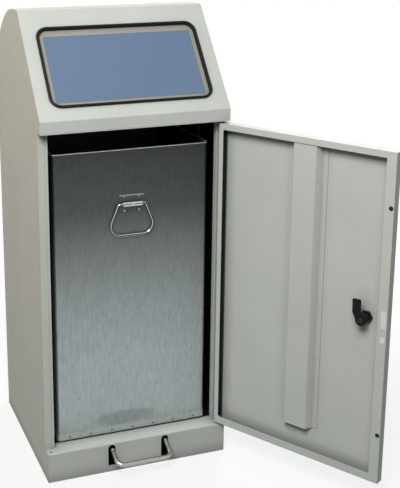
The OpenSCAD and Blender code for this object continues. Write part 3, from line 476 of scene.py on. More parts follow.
def chromed_rod(name, ahead, aside):
    """Chrome plating on a round rod: a tight mirror whose colour carries a painted reflection, dark down the
    line that faces the dark room ahead and bright down both of its sides. Fine wear spreads the shine here
    and there."""
    tree, place = new_finish(name)
    facing = add(tree, "ShaderNodeTexCoord").outputs["Normal"]
    front = add(tree, "ShaderNodeVectorMath", {0: facing, 1: (0, -1, 0)}, operation="DOT_PRODUCT")
    share = add(tree, "ShaderNodeMapRange", {
        "Value": front.outputs["Value"], "From Min": 0.88, "From Max": 0.98})
    # Painted reflection: the colour is dark where the rod faces ahead and bright on its sides
    tint = add(tree, "ShaderNodeMix", {
        0: share.outputs["Result"], 6: aside, 7: ahead}, data_type="RGBA").outputs[2]
    wear, shine = mottled(tree, place, 200.0, 2.0, 0.07, 0.15)
    relief = add(tree, "ShaderNodeBump", {"Strength": 0.1, "Distance": 0.00002, "Height": wear})
    surfaced(tree, relief, {"Base Color": tint, "Metallic": 1.0, "Roughness": shine})


def moulded_plastic(name, colour, rough, grain, sheen=0.5):
    """Moulded nylon or extruded rubber: one colour under the fine matt grain of the tool that shaped it."""
    tree, place = new_finish(name)
    skin, shine = mottled(tree, place, grain, 2.0, rough - 0.05, rough + 0.07)
    relief = add(tree, "ShaderNodeBump", {"Strength": 0.3, "Distance": 0.00003, "Height": skin})
    surfaced(tree, relief, {
        "Base Color": clouded(tree, place, colour, grain / 4, 2.0, 0.85, 1.15),
        "Roughness": shine, "IOR": 1.52, "Specular IOR Level": sheen})


def studio_paper(name, white, thrown_back, under_plinth):
    """Pale paper floor: it takes the object's shadow close by, and is plain white further off.
    It throws back less light than it shows, and under the plinth it is bare, so that the hollow base
    and the low panels stay as dark as they are over a distant floor."""
    tree, place = new_finish(name)
    fleck = add(tree, "ShaderNodeTexNoise", {"Vector": place, "Scale": 3.0, "Detail": 1.0})
    paper = add(tree, "ShaderNodeMix", {
        0: fleck.outputs["Fac"], 6: grey(white * 0.99), 7: grey(white)}, data_type="RGBA").outputs[2]
    spans = add(tree, "ShaderNodeVectorMath", {0: place}, operation="ABSOLUTE").outputs[0]
    axes = add(tree, "ShaderNodeSeparateXYZ", {"Vector": spans}).outputs
    under = where_all(tree, [(axes["X"], "LESS_THAN", HALF_WIDTH), (axes["Y"], "LESS_THAN", BACK_Y)])
    pale = add(tree, "ShaderNodeMath", {
        0: seen_directly(tree), 1: under}, operation="SUBTRACT", use_clamp=True).outputs[0]
    bare = add(tree, "ShaderNodeMix", {
        0: under, 6: grey(thrown_back), 7: grey(under_plinth)}, data_type="RGBA").outputs[2]
    surface = add(tree, "ShaderNodeBsdfPrincipled", {
        "Base Color": add(tree, "ShaderNodeMix", {0: pale, 6: bare, 7: paper}, data_type="RGBA").outputs[2],
        "Roughness": 0.9, "Specular IOR Level": 0.0})
    plain = add(tree, "ShaderNodeEmission", {"Color": grey(1.0), "Strength": 1.0})
    away = add(tree, "ShaderNodeVectorMath", {0: place}, operation="LENGTH").outputs["Value"]
    share = add(tree, "ShaderNodeMapRange", {
        "Value": away, "From Min": 0.45, "From Max": 1.3, "To Min": 0.76, "To Max": 1.0,
    }, interpolation_type="SMOOTHSTEP").outputs["Result"]
    share = add(tree, "ShaderNodeMath", {0: share, 1: pale}, operation="MULTIPLY").outputs[0]
    both = add(tree, "ShaderNodeMixShader", {
        0: share, 1: surface.outputs["BSDF"], 2: plain.outputs["Emission"]})
    add(tree, "ShaderNodeOutputMaterial", {"Surface": both.outputs[0]})


# Shapes


def new_piece(name, mesh, body):
    """Links a mesh as a piece of the object that moves with a body."""
    old = bpy.data.objects.get(name)
    if old:
        bpy.data.objects.remove(old)
    piece = bpy.data.objects.new(name, mesh)
    bpy.context.scene.collection.objects.link(piece)
    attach(piece, body)
    return piece


def grown(name, base, tree, values):
    """Runs a geometry tree on a base mesh and returns the plain mesh that it makes."""
    holder = bpy.data.objects.new(name + "_base", base)
    bpy.context.scene.collection.objects.link(holder)
    modifier = holder.modifiers.new("grow", "NODES")
    modifier.node_group = tree
    sockets = {s.name: s.identifier for s in tree.interface.items_tree if s.in_out == "INPUT"}
    for label, value in values.items():
        modifier[sockets[label]] = value
    bpy.context.view_layer.update()
    made = bpy.data.meshes.new_from_object(holder.evaluated_get(bpy.context.evaluated_depsgraph_get()))
    holder.modifiers.remove(modifier)
    bpy.data.objects.remove(holder)
    if not made.polygons:
        raise RuntimeError(f"{name} came out empty")
    made.name = name
    work = bmesh.new()
    work.from_mesh(made)
    bmesh.ops.remove_doubles(work, verts=work.verts, dist=1e-6)
    bmesh.ops.recalc_face_normals(work, faces=work.faces)
    work.to_mesh(made)
    work.free()
    made.update()
    return made


def geometry_tree(name, inputs):
    """An empty geometry tree with named inputs; returns it with its first and last node."""
    old = bpy.data.node_groups.get(name)
    if old:
        bpy.data.node_groups.remove(old)
    tree = bpy.data.node_groups.new(name, "GeometryNodeTree")
    tree.interface.new_socket("Geometry", in_out="INPUT", socket_type="NodeSocketGeometry")
    for label, kind, value in inputs:
        socket = tree.interface.new_socket(label, in_out="INPUT", socket_type=kind)
        if value is not None:
            socket.default_value = value
    tree.interface.new_socket("Geometry", in_out="OUTPUT", socket_type="NodeSocketGeometry")
    return tree, add(tree, "NodeGroupInput").outputs, add(tree, "NodeGroupOutput").inputs


def domed_heads():
    """Geometry tree: a low domed head on each point, facing along the point's aim."""
    tree, given, made = geometry_tree("Domed heads", [
        ("Radius", "NodeSocketFloat", 0.003),
        ("Height", "NodeSocketFloat", 0.001),
        ("Material", "NodeSocketMaterial", None),
    ])
    ball = add(tree, "GeometryNodeMeshUVSphere", {"Segments": 20, "Rings": 12, "Radius": 1.0})
    position = add(tree, "GeometryNodeInputPosition").outputs[0]
    axes = add(tree, "ShaderNodeSeparateXYZ", {"Vector": position}).outputs
    cut = add(tree, "ShaderNodeMath", {0: axes["Z"], 1: -0.1}, operation="MAXIMUM").outputs[0]
    flat = add(tree, "ShaderNodeCombineXYZ", {"X": axes["X"], "Y": axes["Y"], "Z": cut})
    size = add(tree, "ShaderNodeCombineXYZ", {
        "X": given["Radius"], "Y": given["Radius"], "Z": given["Height"]})
    place = add(tree, "ShaderNodeVectorMath", {0: flat.outputs[0], 1: size.outputs[0]}, operation="MULTIPLY")
    dome = add(tree, "GeometryNodeSetPosition", {
        "Geometry": ball.outputs["Mesh"], "Position": place.outputs[0]})
    smooth = add(tree, "GeometryNodeSetShadeSmooth", {0: dome.outputs[0]})
    aim = add(tree, "GeometryNodeInputNamedAttribute", {"Name": "aim"}, data_type="FLOAT_VECTOR")
    turn = add(tree, "FunctionNodeAlignRotationToVector", {"Vector": aim.outputs[0]}, axis="Z")
    points = add(tree, "GeometryNodeMeshToPoints", {"Mesh": given["Geometry"]})
    copies = add(tree, "GeometryNodeInstanceOnPoints", {
        "Points": points.outputs[0], "Instance": smooth.outputs[0], "Rotation": turn.outputs[0]})
    real = add(tree, "GeometryNodeRealizeInstances", {0: copies.outputs[0]})
    dressed = add(tree, "GeometryNodeSetMaterial", {
        "Geometry": real.outputs[0], "Material": given["Material"]})
    tree.links.new(dressed.outputs[0], made[0])
    return tree


def bar_along_line():
    """Geometry tree: a bar with rounded edges along a line of edges, such as a trim or a bent rod."""
    tree, given, made = geometry_tree("Bar along a line", [
        ("Width", "NodeSocketFloat", 0.006),
        ("Depth", "NodeSocketFloat", 0.006),
        ("Rounding", "NodeSocketFloat", 0.002),
        ("Steps", "NodeSocketInt", 5),
        ("Material", "NodeSocketMaterial", None),
    ])
    line = add(tree, "GeometryNodeMeshToCurve", {"Mesh": given["Geometry"]})
    box = add(tree, "GeometryNodeCurvePrimitiveQuadrilateral", {
        "Width": given["Width"], "Height": given["Depth"]})
    section = add(tree, "GeometryNodeFilletCurve", {
        "Curve": box.outputs[0], "Radius": given["Rounding"], "Count": given["Steps"]}, mode="POLY")
    swept = add(tree, "GeometryNodeCurveToMesh", {
        "Curve": line.outputs[0], "Profile Curve": section.outputs[0], "Fill Caps": True})
    smooth = add(tree, "GeometryNodeSetShadeSmooth", {0: swept.outputs[0]})
    real = add(tree, "GeometryNodeRealizeInstances", {0: smooth.outputs[0]})
    dressed = add(tree, "GeometryNodeSetMaterial", {
        "Geometry": real.outputs[0], "Material": given["Material"]})
    tree.links.new(dressed.outputs[0], made[0])
    return tree


def aimed_points(name, places):
    """Loose points, each with the direction that it aims in."""
    mesh = bpy.data.meshes.new(name)
    mesh.from_pydata([tuple(p) for p, _ in places], [], [])
    aim = mesh.attributes.new("aim", "FLOAT_VECTOR", "POINT")
    for i, (_, direction) in enumerate(places):
        aim.data[i].vector = Vector(direction).normalized()
    return mesh


def line_mesh(name, points, closed):
    """A run of edges through points."""
    mesh = bpy.data.meshes.new(name)
    edges = [(i, i + 1) for i in range(len(points) - 1)]
    if closed:
        edges.append((len(points) - 1, 0))
    mesh.from_pydata([tuple(p) for p in points], edges, [])
    return mesh


def swept_bar(name, points, closed, section, steps, dress):
    """A bar along points. The section is its width, its depth and the rounding of its edges."""
    width, depth, rounding = section
    return grown(name, line_mesh(name + "_line", points, closed), bar_along_line(), {
        "Width": width, "Depth": depth, "Rounding": rounding, "Steps": steps, "Material": finish(dress)})


def round_bar(name, points, thickness, dress):
    """A bent round bar or rod along points."""
    section = (thickness, thickness, thickness / 2 - BAR_FLAT)
    return swept_bar(name, points, False, section, 6, dress)


def round_rectangle(width, length, radius):
    """Points round a rectangle with round corners, centred on the origin."""
    steps = sizes().smoothness
    out = []
    for sx, sy, first in ((1, 1, 0), (-1, 1, 90), (-1, -1, 180), (1, -1, 270)):
        cx, cy = sx * (width / 2 - radius), sy * (length / 2 - radius)
        for i in range(steps + 1):
            a = math.radians(first + 90 * i / steps)
            out.append(Vector((cx + radius * math.cos(a), cy + radius * math.sin(a), 0)))
    return out


def bent_line(corners, radii):
    """Points along a bent rod's middle: straight runs with an arc at each inner corner."""
    steps = sizes().smoothness
    points = [Vector(c) for c in corners]
    out = [points[0]]
    for before, here, after, radius in zip(points, points[1:], points[2:], radii):
        arriving, leaving = (here - before).normalized(), (after - here).normalized()
        turn = arriving.angle(leaving)
        middle = here + (leaving - arriving).normalized() * (radius / math.cos(turn / 2))
        spoke = here - arriving * (radius * math.tan(turn / 2)) - middle
        axis = arriving.cross(leaving)
        out += [middle + Matrix.Rotation(turn * i / steps, 3, axis) @ spoke for i in range(steps + 1)]
    out.append(points[-1])
    return out


def joined(name, meshes):
    """One mesh out of several, with the first one's material."""
    work = bmesh.new()
    for part in meshes:
        work.from_mesh(part)
    mesh = bpy.data.meshes.new(name)
    work.to_mesh(mesh)
    work.free()
    for material in meshes[0].materials:
        mesh.materials.append(material)
    return mesh


def plate_mesh(name, outline, thickness, bevel, placing):
    """A thin plate with softened edges over an outline, taken to its place."""
    work = bmesh.new()
    bottom = [work.verts.new(p) for p in outline]
    face = work.faces.new(bottom)
    face.normal_update()
    if face.normal.z > 0:
        face.normal_flip()
    top = bmesh.ops.extrude_face_region(work, geom=[face])
    raised = [v for v in top["geom"] if isinstance(v, bmesh.types.BMVert)]
    bmesh.ops.translate(work, verts=raised, vec=(0, 0, thickness))
    bmesh.ops.recalc_face_normals(work, faces=work.faces)
    rim = [e for e in work.edges if all(v in raised for v in e.verts)]
    bmesh.ops.bevel(work, geom=rim, offset=bevel, segments=2, profile=0.5, affect="EDGES")
    work.transform(placing)
    bmesh.ops.recalc_face_normals(work, faces=work.faces)
    mesh = bpy.data.meshes.new(name)
    work.to_mesh(mesh)
    work.free()
    return mesh


# Settings


class BinFinishes(bpy.types.PropertyGroup):
    """Colours of the bin."""

    paint: FloatVectorProperty(
        name="Paint", description="Powder coat of the cabinet, hood, plinth and door",
        subtype="COLOR", size=3, min=0, max=1, default=rgb("CBD0C9"))
    flap_paint: FloatVectorProperty(
        name="Flap paint", description="Powder coat of the flap round its film",
        subtype="COLOR", size=3, min=0, max=1, default=rgb("A8A599"))
    film: FloatVectorProperty(
        name="Film", description="Coloured film that marks what the bin is for",
        subtype="COLOR", size=3, min=0, max=1, default=rgb("687C97"))
    # Painted shade: this near-black colour stands for the shade inside the cabinet, hood and plinth
    inner_shade: FloatVectorProperty(
        name="Inner shade", description="Dark coat on the inner skin of the cabinet and hood",
        subtype="COLOR", size=3, min=0, max=1, default=rgb("0B0B0B"))
    rubber: FloatVectorProperty(
        name="Rubber", description="Trim round the mouth and the door's buffers",
        subtype="COLOR", size=3, min=0, max=1, default=rgb("0A0A0A"))


class BinSizes(bpy.types.PropertyGroup):
    """Sizes of the small pieces and of the studio."""

    trim_width: FloatProperty(
        name="Trim width", description="Width of the rubber trim's bead",
        subtype="DISTANCE", unit="LENGTH", default=0.0105, min=0.006, max=0.013)
    pan_rivet_radius: FloatProperty(
        name="Pan rivet radius", description="Radius of the rivet heads round the container's base",
        subtype="DISTANCE", unit="LENGTH", default=0.0028, min=0.002, max=0.004)
    pan_rivet_pitch: FloatProperty(
        name="Pan rivet pitch", description="Spacing of the rivets round the container's base",
        subtype="DISTANCE", unit="LENGTH", default=0.047, min=0.03, max=0.08)
    rim_bead: FloatProperty(
        name="Rim bead", description="Thickness of the folded bead on the container's upper edge",
        subtype="DISTANCE", unit="LENGTH", default=0.0022, min=0.001, max=0.004)
    floor_size: FloatProperty(
        name="Floor size", description="Side of the studio floor",
        subtype="DISTANCE", unit="LENGTH", default=40.0, min=6.0, max=80.0)
    smoothness: IntProperty(
        name="Smoothness", description="Steps in each rounded corner", default=12, min=4, max=32)


def finishes():
    """The colours that the sidebar shows."""
    return bpy.context.scene.bin_finishes


def sizes():
    """The sizes that the sidebar shows."""
    return bpy.context.scene.bin_sizes


def finish(name):
    """A finish that has been made, by its name."""
    found = bpy.data.materials.get(name)
    if not found:
        raise RuntimeError(f"the finish {name} has to be made first")
    return found


PAINTED = "Powder-coated steel, light grey"
SHADED_BODY = "Powder-coated steel, cabinet with painted inner shade"
SHADED_HOOD = "Powder-coated steel, hood with painted inner shade"
SHADED_PLINTH = "Powder-coated steel, plinth with painted inner shade"
SHADED_DOOR = "Powder-coated steel, door with painted fold shade"
TAUPE = "Powder-coated steel, taupe"
FILM = "Vinyl film"
LABEL = "Vinyl label, pale"
CONTAINER = "Galvanised sheet, container"
RIM = "Galvanised sheet, folded rim"
BRACKET = "Galvanised sheet, bracket"
PLATE = "Galvanised sheet, handle plate"
CHROME = "Chromed steel, drop handle"
ROD = "Zinc-plated steel, drawn rod"
ZINC = "Zinc-plated steel, bright"
DULL = "Zinc-plated steel, dull"
DARK_STEEL = "Oiled dark steel, and painted shade"
RUBBER = "EPDM rubber, extruded"
NYLON_BLACK = "Glass-filled nylon, moulded black"
NYLON = "Nylon, moulded natural"

# Painted shade: the lock housing, the lock nut and the pull rod take the dark oiled steel, for the shade they
# lie in
DRESS = {
    "body_shell": SHADED_BODY, "hood_shell": SHADED_HOOD, "plinth_tray": SHADED_PLINTH, "base_frame": PAINTED,
    "opening_trim": RUBBER, "hinge_pins": ZINC, "flap_brackets": BRACKET, "flap_bushes": NYLON,
    "hood_rivets": PAINTED, "frame_rivets": DULL, "shaft_brackets": BRACKET, "shaft_bushes": NYLON,
    "rod_guides": BRACKET, "return_spring": DARK_STEEL, "door_skin": SHADED_DOOR, "door_stiffener": PAINTED,
    "door_bumpers": RUBBER, "hinge_plates": BRACKET, "hinge_bushes": NYLON, "lock_housing": DARK_STEEL,
    "lock_nut": DARK_STEEL, "lock_barrel": ZINC, "latch_cam": NYLON_BLACK, "cam_screw": DARK_STEEL,
    "pedal_bar": ROD, "pedal_shaft": ZINC, "pedal_lever": BRACKET, "lever_pin": ZINC,
    "pull_rod": DARK_STEEL, "flap_panel": TAUPE, "flap_film": FILM, "flap_axle": ZINC, "flap_crank": BRACKET,
    "crank_pin": ZINC, "container_shell": CONTAINER, "container_base": RIM,
    "container_rivets": DULL, "handle_plate": PLATE, "handle_rivets": DULL, "handle_bail": CHROME,
}

# Galvanised sheet's tones, each at a share of the rise between the heights in TONES_Z. The container's are
# painted reflection and painted shade, light low down and dark at the top
CONTAINER_TONES = (
    (0.0, "A1ABAB"), (0.13, "A3ADAD"), (0.27, "A2ACAC"), (0.45, "939D9D"), (0.63, "787F7D"),
    (0.80, "4D5250"), (1.0, "3A3E3B"))
# Rim tones: the near-black band at the very foot of the container's base is a painted shadow under its turned
# edge, and the lighter tone up at the rim's bead is a painted highlight
RIM_TONES = ((0.0, "161A18"), (0.0052, "161A18"), (0.0056, "ADB6B3"), (1.0, "D5DAD7"))
BRACKET_TONES = ((0.0, "8C9192"), (1.0, "7E8384"))
# Plate tones: dark to match the container's painted tone at that height, with a light band along the plate's
# top edge that is a painted highlight
PLATE_TONES = ((0.0, "4A4F4C"), (0.8435, "4A4F4C"), (0.844, "A9AEAB"), (1.0, "A9AEAB"))


# Operators


class BIN_OT_finishes(bpy.types.Operator):
    """Make every finish and put it on the model's own solids"""

    bl_idname = "bin.finishes"
    bl_label = "Finishes"

    def execute(self, context):
        chosen = finishes()
        paint = (*chosen.paint, 1.0)
        inner_shade = (*chosen.inner_shade, 1.0)
        powder_coat(PAINTED, paint)
        # The cabinet, hood and plinth take painted shade on their inner faces
        powder_coat(SHADED_BODY, paint, inner_shade, inner_skin_of_body)
        powder_coat(SHADED_HOOD, paint, inner_shade, inner_skin_of_hood)
        powder_coat(SHADED_PLINTH, paint, inner_shade, behind_the_stiles)
        # Painted shade: near-black inside the fold behind the door's hinge lip
        powder_coat(SHADED_DOOR, paint, linear("1C1C1A"), behind_the_hinge_lip)
        powder_coat(TAUPE, (*chosen.flap_paint, 1.0))
        vinyl_film(FILM, (*chosen.film, 1.0))
        vinyl_film(LABEL, linear("E4E7E2"))
        galvanised_sheet(CONTAINER, CONTAINER_TONES, metal=0.75, mirrored=0.78)
        galvanised_sheet(RIM, RIM_TONES, metal=0.45)
        galvanised_sheet(BRACKET, BRACKET_TONES, metal=0.85)
        galvanised_sheet(PLATE, PLATE_TONES, metal=0.75)
        chromed_rod(CHROME, ahead=linear("2E3230"), aside=linear("B4BABA"))
        plated_steel(ROD, linear("A9A9A3"), rough=0.2)
        plated_steel(ZINC, linear("BEC6C8"), rough=0.34)
        plated_steel(DULL, linear("84877F"), rough=0.40)
        # Dark oiled steel: the return spring's own colour, and painted shade on the lock housing, lock nut
        # and pull rod
        plated_steel(DARK_STEEL, linear("3A3A3C"), rough=0.42)
        moulded_plastic(RUBBER, (*chosen.rubber, 1.0), rough=0.4, grain=900.0, sheen=0.2)
        moulded_plastic(NYLON_BLACK, linear("080809"), rough=0.52, grain=700.0, sheen=0.15)
        moulded_plastic(NYLON, linear("E2DFD4"), rough=0.4, grain=700.0)
        for node, name in DRESS.items():
            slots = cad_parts[node].data.materials
            slots.clear()
            slots.append(finish(name))
        return {"FINISHED"}


class BIN_OT_opening_trim(bpy.types.Operator):
    """Run the rubber trim round the mouth in the hood"""

    bl_idname = "bin.opening_trim"
    bl_label = "Rubber trim"

    def execute(self, context):
        placing = slope_frame() @ Matrix.Translation((0, MOUTH_MIDDLE, -SHEET / 2))
        points = [placing @ p for p in round_rectangle(*TRIM_LOOP, TRIM_CORNER)]
        section = (TRIM_HEIGHT, sizes().trim_width, TRIM_ROUNDING)
        mesh = swept_bar("mouth_trim", points, True, section, 5, RUBBER)
        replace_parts(new_piece("mouth_trim", mesh, "cabinet"), "opening_trim")
        return {"FINISHED"}


class BIN_OT_rivets(bpy.types.Operator):
    """Set the domed rivet heads of the hood, the base frame, the container and its handle"""

    bl_idname = "bin.rivets"
    bl_label = "Rivets"

    def execute(self, context):
        heads = domed_heads()
        hood = [((s * HALF_WIDTH, y, z), (s, 0, 0)) for s in (-1, 1) for y, z in HOOD_RIVETS]
        base = [((s * HALF_WIDTH, y, FRAME_RIVET_Z), (s, 0, 0)) for s in (-1, 1) for y in FRAME_RIVETS_Y]
        pitch = sizes().pan_rivet_pitch
        wide, deep = CONTAINER_HALF
        across = math.floor((wide - PAN_MARGIN) / pitch)
        along = math.floor((deep - PAN_MARGIN) / pitch)
        pan = []
        for s in (-1, 1):
            x = s * (wide + PAN_SHEET)
            y = CONTAINER_MIDDLE + s * (deep + PAN_SHEET)
            pan += [((i * pitch, y, PAN_RIVET_Z), (0, s, 0)) for i in range(-across, across + 1)]
            pan += [((x, CONTAINER_MIDDLE + i * pitch, PAN_RIVET_Z), (s, 0, 0))
                    for i in range(-along, along + 1)]
        aside, above = PLATE_RIVETS
        plate = [((sx * aside, CONTAINER_FRONT - PLATE_SHEET, HANDLE_Z + sz * above), (0, -1, 0))
                 for sx in (-1, 1) for sz in (-1, 1)]
        small = (sizes().pan_rivet_radius, SMALL_HEAD_HEIGHT)
        for name, places, (radius, height), body, slot, dress, node in (
            ("hood_rivet_heads", hood, LARGE_HEAD, "cabinet", "painted_sheet", PAINTED, "hood_rivets"),
            ("frame_rivet_heads", base, LARGE_HEAD, "cabinet", "bright_steel", DULL, "frame_rivets"),
            ("pan_rivet_heads", pan, small, "container", "bright_steel", DULL, "container_rivets"),
            ("handle_rivet_heads", plate, small, "container", "bright_steel", DULL, "handle_rivets"),
        ):
            mesh = grown(name, aimed_points(name + "_points", places), heads, {
                "Radius": radius, "Height": height, "Material": finish(dress)})
            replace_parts(new_piece(name, mesh, body), node)
        return {"FINISHED"}


class BIN_OT_container_rim(bpy.types.Operator):
    """Fold the bright bead round the container's upper edge"""

    bl_idname = "bin.container_rim"
    bl_label = "Container rim"

    def execute(self, context):
        bead = sizes().rim_bead
        wide, deep = CONTAINER_HALF
        placing = Matrix.Translation((0, CONTAINER_MIDDLE, CONTAINER_TOP - bead / 2 + RIM_PROUD))
        points = [placing @ p for p in round_rectangle(2 * wide, 2 * deep, CONTAINER_CORNER)]
        mesh = swept_bar("container_rim_bead", points, True, (bead, bead, bead * 0.45), 3, RIM)
        new_piece("container_rim_bead", mesh, "container")
        return {"FINISHED"}


class BIN_OT_drop_handle(bpy.types.Operator):
    """Bend the container's drop handle from one round rod, and roll the knuckle that holds it"""

    bl_idname = "bin.drop_handle"
    bl_label = "Drop handle"

    def execute(self, context):
        low = HANDLE_Z - HANDLE_DROP
        half = [(HANDLE_GAP / 2, HANDLE_Z), (HANDLE_TOP / 2, HANDLE_Z), (HANDLE_LOW / 2, low)]
        corners = [(-x, HANDLE_Y, z) for x, z in half] + [(x, HANDLE_Y, z) for x, z in reversed(half)]
        points = bent_line(corners, (HANDLE_SHOULDER, HANDLE_BEND, HANDLE_BEND, HANDLE_SHOULDER))
        mesh = round_bar("drop_handle_rod", points, HANDLE_ROD, CHROME)
        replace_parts(new_piece("drop_handle_rod", mesh, "bail"), "handle_bail")

        # The plate's knuckle: the sheet is rolled over and under the rod, which leaves a crease between
        beads = []
        for rise in (KNUCKLE_RISE, -KNUCKLE_RISE):
            line = [(x, KNUCKLE_Y, HANDLE_Z + rise) for x in KNUCKLE_X]
            beads.append(round_bar("knuckle_bead", line, KNUCKLE_BEAD, ZINC))
        mesh = joined("handle_knuckle", beads)
        new_piece("handle_knuckle", mesh, "container")
        return {"FINISHED"}


class BIN_OT_pedal(bpy.types.Operator):
    """Bend the pedal from one round bar, back to its shaft"""

    bl_idname = "bin.pedal"
    bl_label = "Pedal"

    def execute(self, context):
        side = [SHAFT, KNEE, FOOT]
        corners = [(-PEDAL_HALF, y, z) for y, z in side] + [(PEDAL_HALF, y, z) for y, z in reversed(side)]
        points = bent_line(corners, (PEDAL_BEND,) * 4)
        mesh = round_bar("pedal_rod", points, PEDAL_BAR, ROD)
        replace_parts(new_piece("pedal_rod", mesh, "pedal"), "pedal_bar")
        return {"FINISHED"}


class BIN_OT_return_spring(bpy.types.Operator):
    """Wind the pedal's return spring, whose far leg bears on the pedal's bar"""

    bl_idname = "bin.return_spring"
    bl_label = "Return spring"

    def execute(self, context):
        first, last = SPRING_X
        y, z = SHAFT
        rounds = int(SPRING_TURNS * SPRING_STEPS)
        points = list(SPRING_REST)
        for i in range(rounds + 1):
            a = math.radians(90) + math.tau * SPRING_TURNS * i / rounds
            points.append((
                first + (last - first) * i / rounds,
                y + SPRING_RADIUS * math.cos(a), z + SPRING_RADIUS * math.sin(a)))
        points += SPRING_HOOK
        section = (SPRING_WIRE, SPRING_WIRE, SPRING_WIRE * 0.49)
        mesh = swept_bar("pedal_return_spring", points, False, section, 3, DARK_STEEL)
        spring = bpy.data.objects.new("pedal_return_spring", mesh)
        context.scene.collection.objects.link(spring)
        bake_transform(spring)
        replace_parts(spring, "return_spring")
        return {"FINISHED"}


class BIN_OT_door_window(bpy.types.Operator):
    """Cut the upper free corner of the door's window square"""

    bl_idname = "bin.door_window"
    bl_label = "Door window"

    def execute(self, context):
        swing = door_frame()
        shut = swing.inverted()
        work = bmesh.new()
        work.from_mesh(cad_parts["door_skin"].data)
        bmesh.ops.remove_doubles(work, verts=work.verts, dist=1e-6)
        bmesh.ops.dissolve_limit(work, angle_limit=math.radians(0.5), verts=work.verts, edges=work.edges)
        corner_x, corner_z = WINDOW_CORNER
        cut = WINDOW_CUT + NEAR
        inner = FRONT_Y + DOOR_DEPTH - 0.002
        moved = 0
        for vert in work.verts:
            x, y, z = shut @ vert.co
            if abs(x - corner_x) < cut and abs(z - corner_z) < cut and y > inner:
                vert.co = swing @ Vector((corner_x, y, corner_z))
                moved += 1
        if moved != 4:
            raise RuntimeError(f"the window's cut corner has {moved} points instead of 4")
        bmesh.ops.remove_doubles(work, verts=work.verts, dist=1e-6)
        bmesh.ops.triangulate(work, faces=work.faces)
        mesh = bpy.data.meshes.new("door_sheet")
        work.to_mesh(mesh)
        work.free()
        mesh.materials.append(finish(SHADED_DOOR))
        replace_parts(new_piece("door_sheet", mesh, "door"), "door_skin")
        return {"FINISHED"}


class BIN_OT_door_details(bpy.types.Operator):
    """Put the rubber buffers and the bare label strips on the door's lip"""

    bl_idname = "bin.door_details"
    bl_label = "Door buffers and labels"

    def execute(self, context):
        inner = FRONT_Y + DOOR_DEPTH
        swing = door_frame()
        inwards = swing.to_3x3() @ Vector((0, 1, 0))
        places = [(swing @ Vector((BUFFER_X, inner, z)), inwards) for z in BUFFERS_Z]
        radius, height = BUFFER_HEAD
        mesh = grown("door_buffers", aimed_points("buffer_points", places), domed_heads(), {
            "Radius": radius, "Height": height, "Material": finish(RUBBER)})
        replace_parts(new_piece("door_buffers", mesh, "door"), "door_bumpers")
        facing = Matrix.Rotation(math.radians(-90), 4, "X")
        for name, z, width, length in LABELS:
            placing = swing @ Matrix.Translation((LABEL_X, inner, z)) @ facing
            outline = round_rectangle(width, length, LABEL_CORNER)
            mesh = plate_mesh(name, outline, LABEL_THICKNESS, LABEL_EDGE, placing)
            mesh.materials.append(finish(LABEL))
            new_piece(name, mesh, "door")
        return {"FINISHED"}


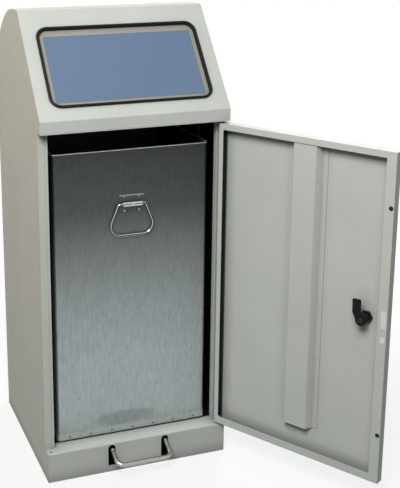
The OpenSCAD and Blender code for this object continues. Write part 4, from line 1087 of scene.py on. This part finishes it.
class BIN_OT_studio(bpy.types.Operator):
    """Set up the floor, the studio lights and the camera at the photograph's angle"""

    bl_idname = "bin.studio"
    bl_label = "Studio"

    def execute(self, context):
        scene = context.scene
        half = sizes().floor_size / 2
        studio_paper("Studio paper", white=0.88, thrown_back=0.15, under_plinth=0.02)
        mesh = bpy.data.meshes.new("studio_floor")
        corners = [(-half, -half, 0), (half, -half, 0), (half, half, 0), (-half, half, 0)]
        mesh.from_pydata(corners, [], [(0, 1, 2, 3)])
        mesh.materials.append(finish("Studio paper"))
        floor = bpy.data.objects.new("studio_floor", mesh)
        scene.collection.objects.link(floor)

        world = bpy.data.worlds.new("Studio")
        scene.world = world
        world.use_nodes = True
        tree = world.node_tree
        tree.nodes.clear()
        soft = add(tree, "ShaderNodeBackground", {"Color": grey(1.0), "Strength": 0.10})
        white = add(tree, "ShaderNodeBackground", {"Color": grey(1.0), "Strength": 1.0})
        both = add(tree, "ShaderNodeMixShader", {
            0: seen_directly(tree), 1: soft.outputs[0], 2: white.outputs[0]})
        add(tree, "ShaderNodeOutputWorld", {"Surface": both.outputs[0]})

        for name, place, target, size, power, tint in LAMPS:
            data = bpy.data.lights.new(name, "AREA")
            data.size = size
            data.energy = power
            data.color = rgb(tint)
            lamp = bpy.data.objects.new(name, data)
            aim = (Vector(target) - Vector(place)).to_track_quat("-Z", "Y").to_matrix().to_4x4()
            lamp.matrix_world = Matrix.Translation(place) @ aim
            scene.collection.objects.link(lamp)

        data = bpy.data.cameras.new("Photo camera")
        data.sensor_width = SENSOR
        data.lens = FOCAL_LENGTH / FRAME_HEIGHT * SENSOR
        data.shift_x, data.shift_y = CAMERA_SHIFT
        data.clip_end = 100.0
        yaw, pitch, roll = (math.radians(a) for a in (CAMERA_YAW, CAMERA_PITCH, CAMERA_ROLL))
        ahead = Vector((math.sin(yaw) * math.cos(pitch), math.cos(yaw) * math.cos(pitch), -math.sin(pitch)))
        level = Vector((math.cos(yaw), -math.sin(yaw), 0))
        above = level.cross(ahead)
        right = level * math.cos(roll) + above * math.sin(roll)
        up = above * math.cos(roll) - level * math.sin(roll)
        pose = Matrix((right, up, -ahead)).transposed().to_4x4()
        pose.translation = CAMERA_PLACE
        camera = bpy.data.objects.new("Photo camera", data)
        camera.matrix_world = pose
        scene.collection.objects.link(camera)
        scene.camera = camera
        scene.view_settings.view_transform = "Standard"
        return {"FINISHED"}


class BIN_PT_steps(bpy.types.Panel):
    """Lists the bin's settings and the steps that build it"""

    bl_label = "Pedal recycling bin"
    bl_space_type = "VIEW_3D"
    bl_region_type = "UI"
    bl_category = "Bin"

    def draw(self, context):
        for group in (context.scene.bin_finishes, context.scene.bin_sizes):
            box = self.layout.box()
            for key in group.bl_rna.properties.keys():
                if key not in ("rna_type", "name"):
                    box.prop(group, key)
        for step in STEPS:
            self.layout.operator(step.bl_idname)


STEPS = (
    BIN_OT_finishes,
    BIN_OT_opening_trim,
    BIN_OT_rivets,
    BIN_OT_container_rim,
    BIN_OT_drop_handle,
    BIN_OT_pedal,
    BIN_OT_return_spring,
    BIN_OT_door_window,
    BIN_OT_door_details,
    BIN_OT_studio,
)
CLASSES = (BinFinishes, BinSizes, *STEPS, BIN_PT_steps)


def register():
    for cls in CLASSES:
        bpy.utils.register_class(cls)
    bpy.types.Scene.bin_finishes = PointerProperty(type=BinFinishes)
    bpy.types.Scene.bin_sizes = PointerProperty(type=BinSizes)


def unregister():
    del bpy.types.Scene.bin_sizes
    del bpy.types.Scene.bin_finishes
    for cls in reversed(CLASSES):
        bpy.utils.unregister_class(cls)


def main():
    register()
    bpy.ops.bin.finishes()
    bpy.ops.bin.opening_trim()
    bpy.ops.bin.rivets()
    bpy.ops.bin.container_rim()
    bpy.ops.bin.drop_handle()
    bpy.ops.bin.pedal()
    bpy.ops.bin.return_spring()
    bpy.ops.bin.door_window()
    bpy.ops.bin.door_details()
    bpy.ops.bin.studio()


if __name__ == "__main__":
    main()
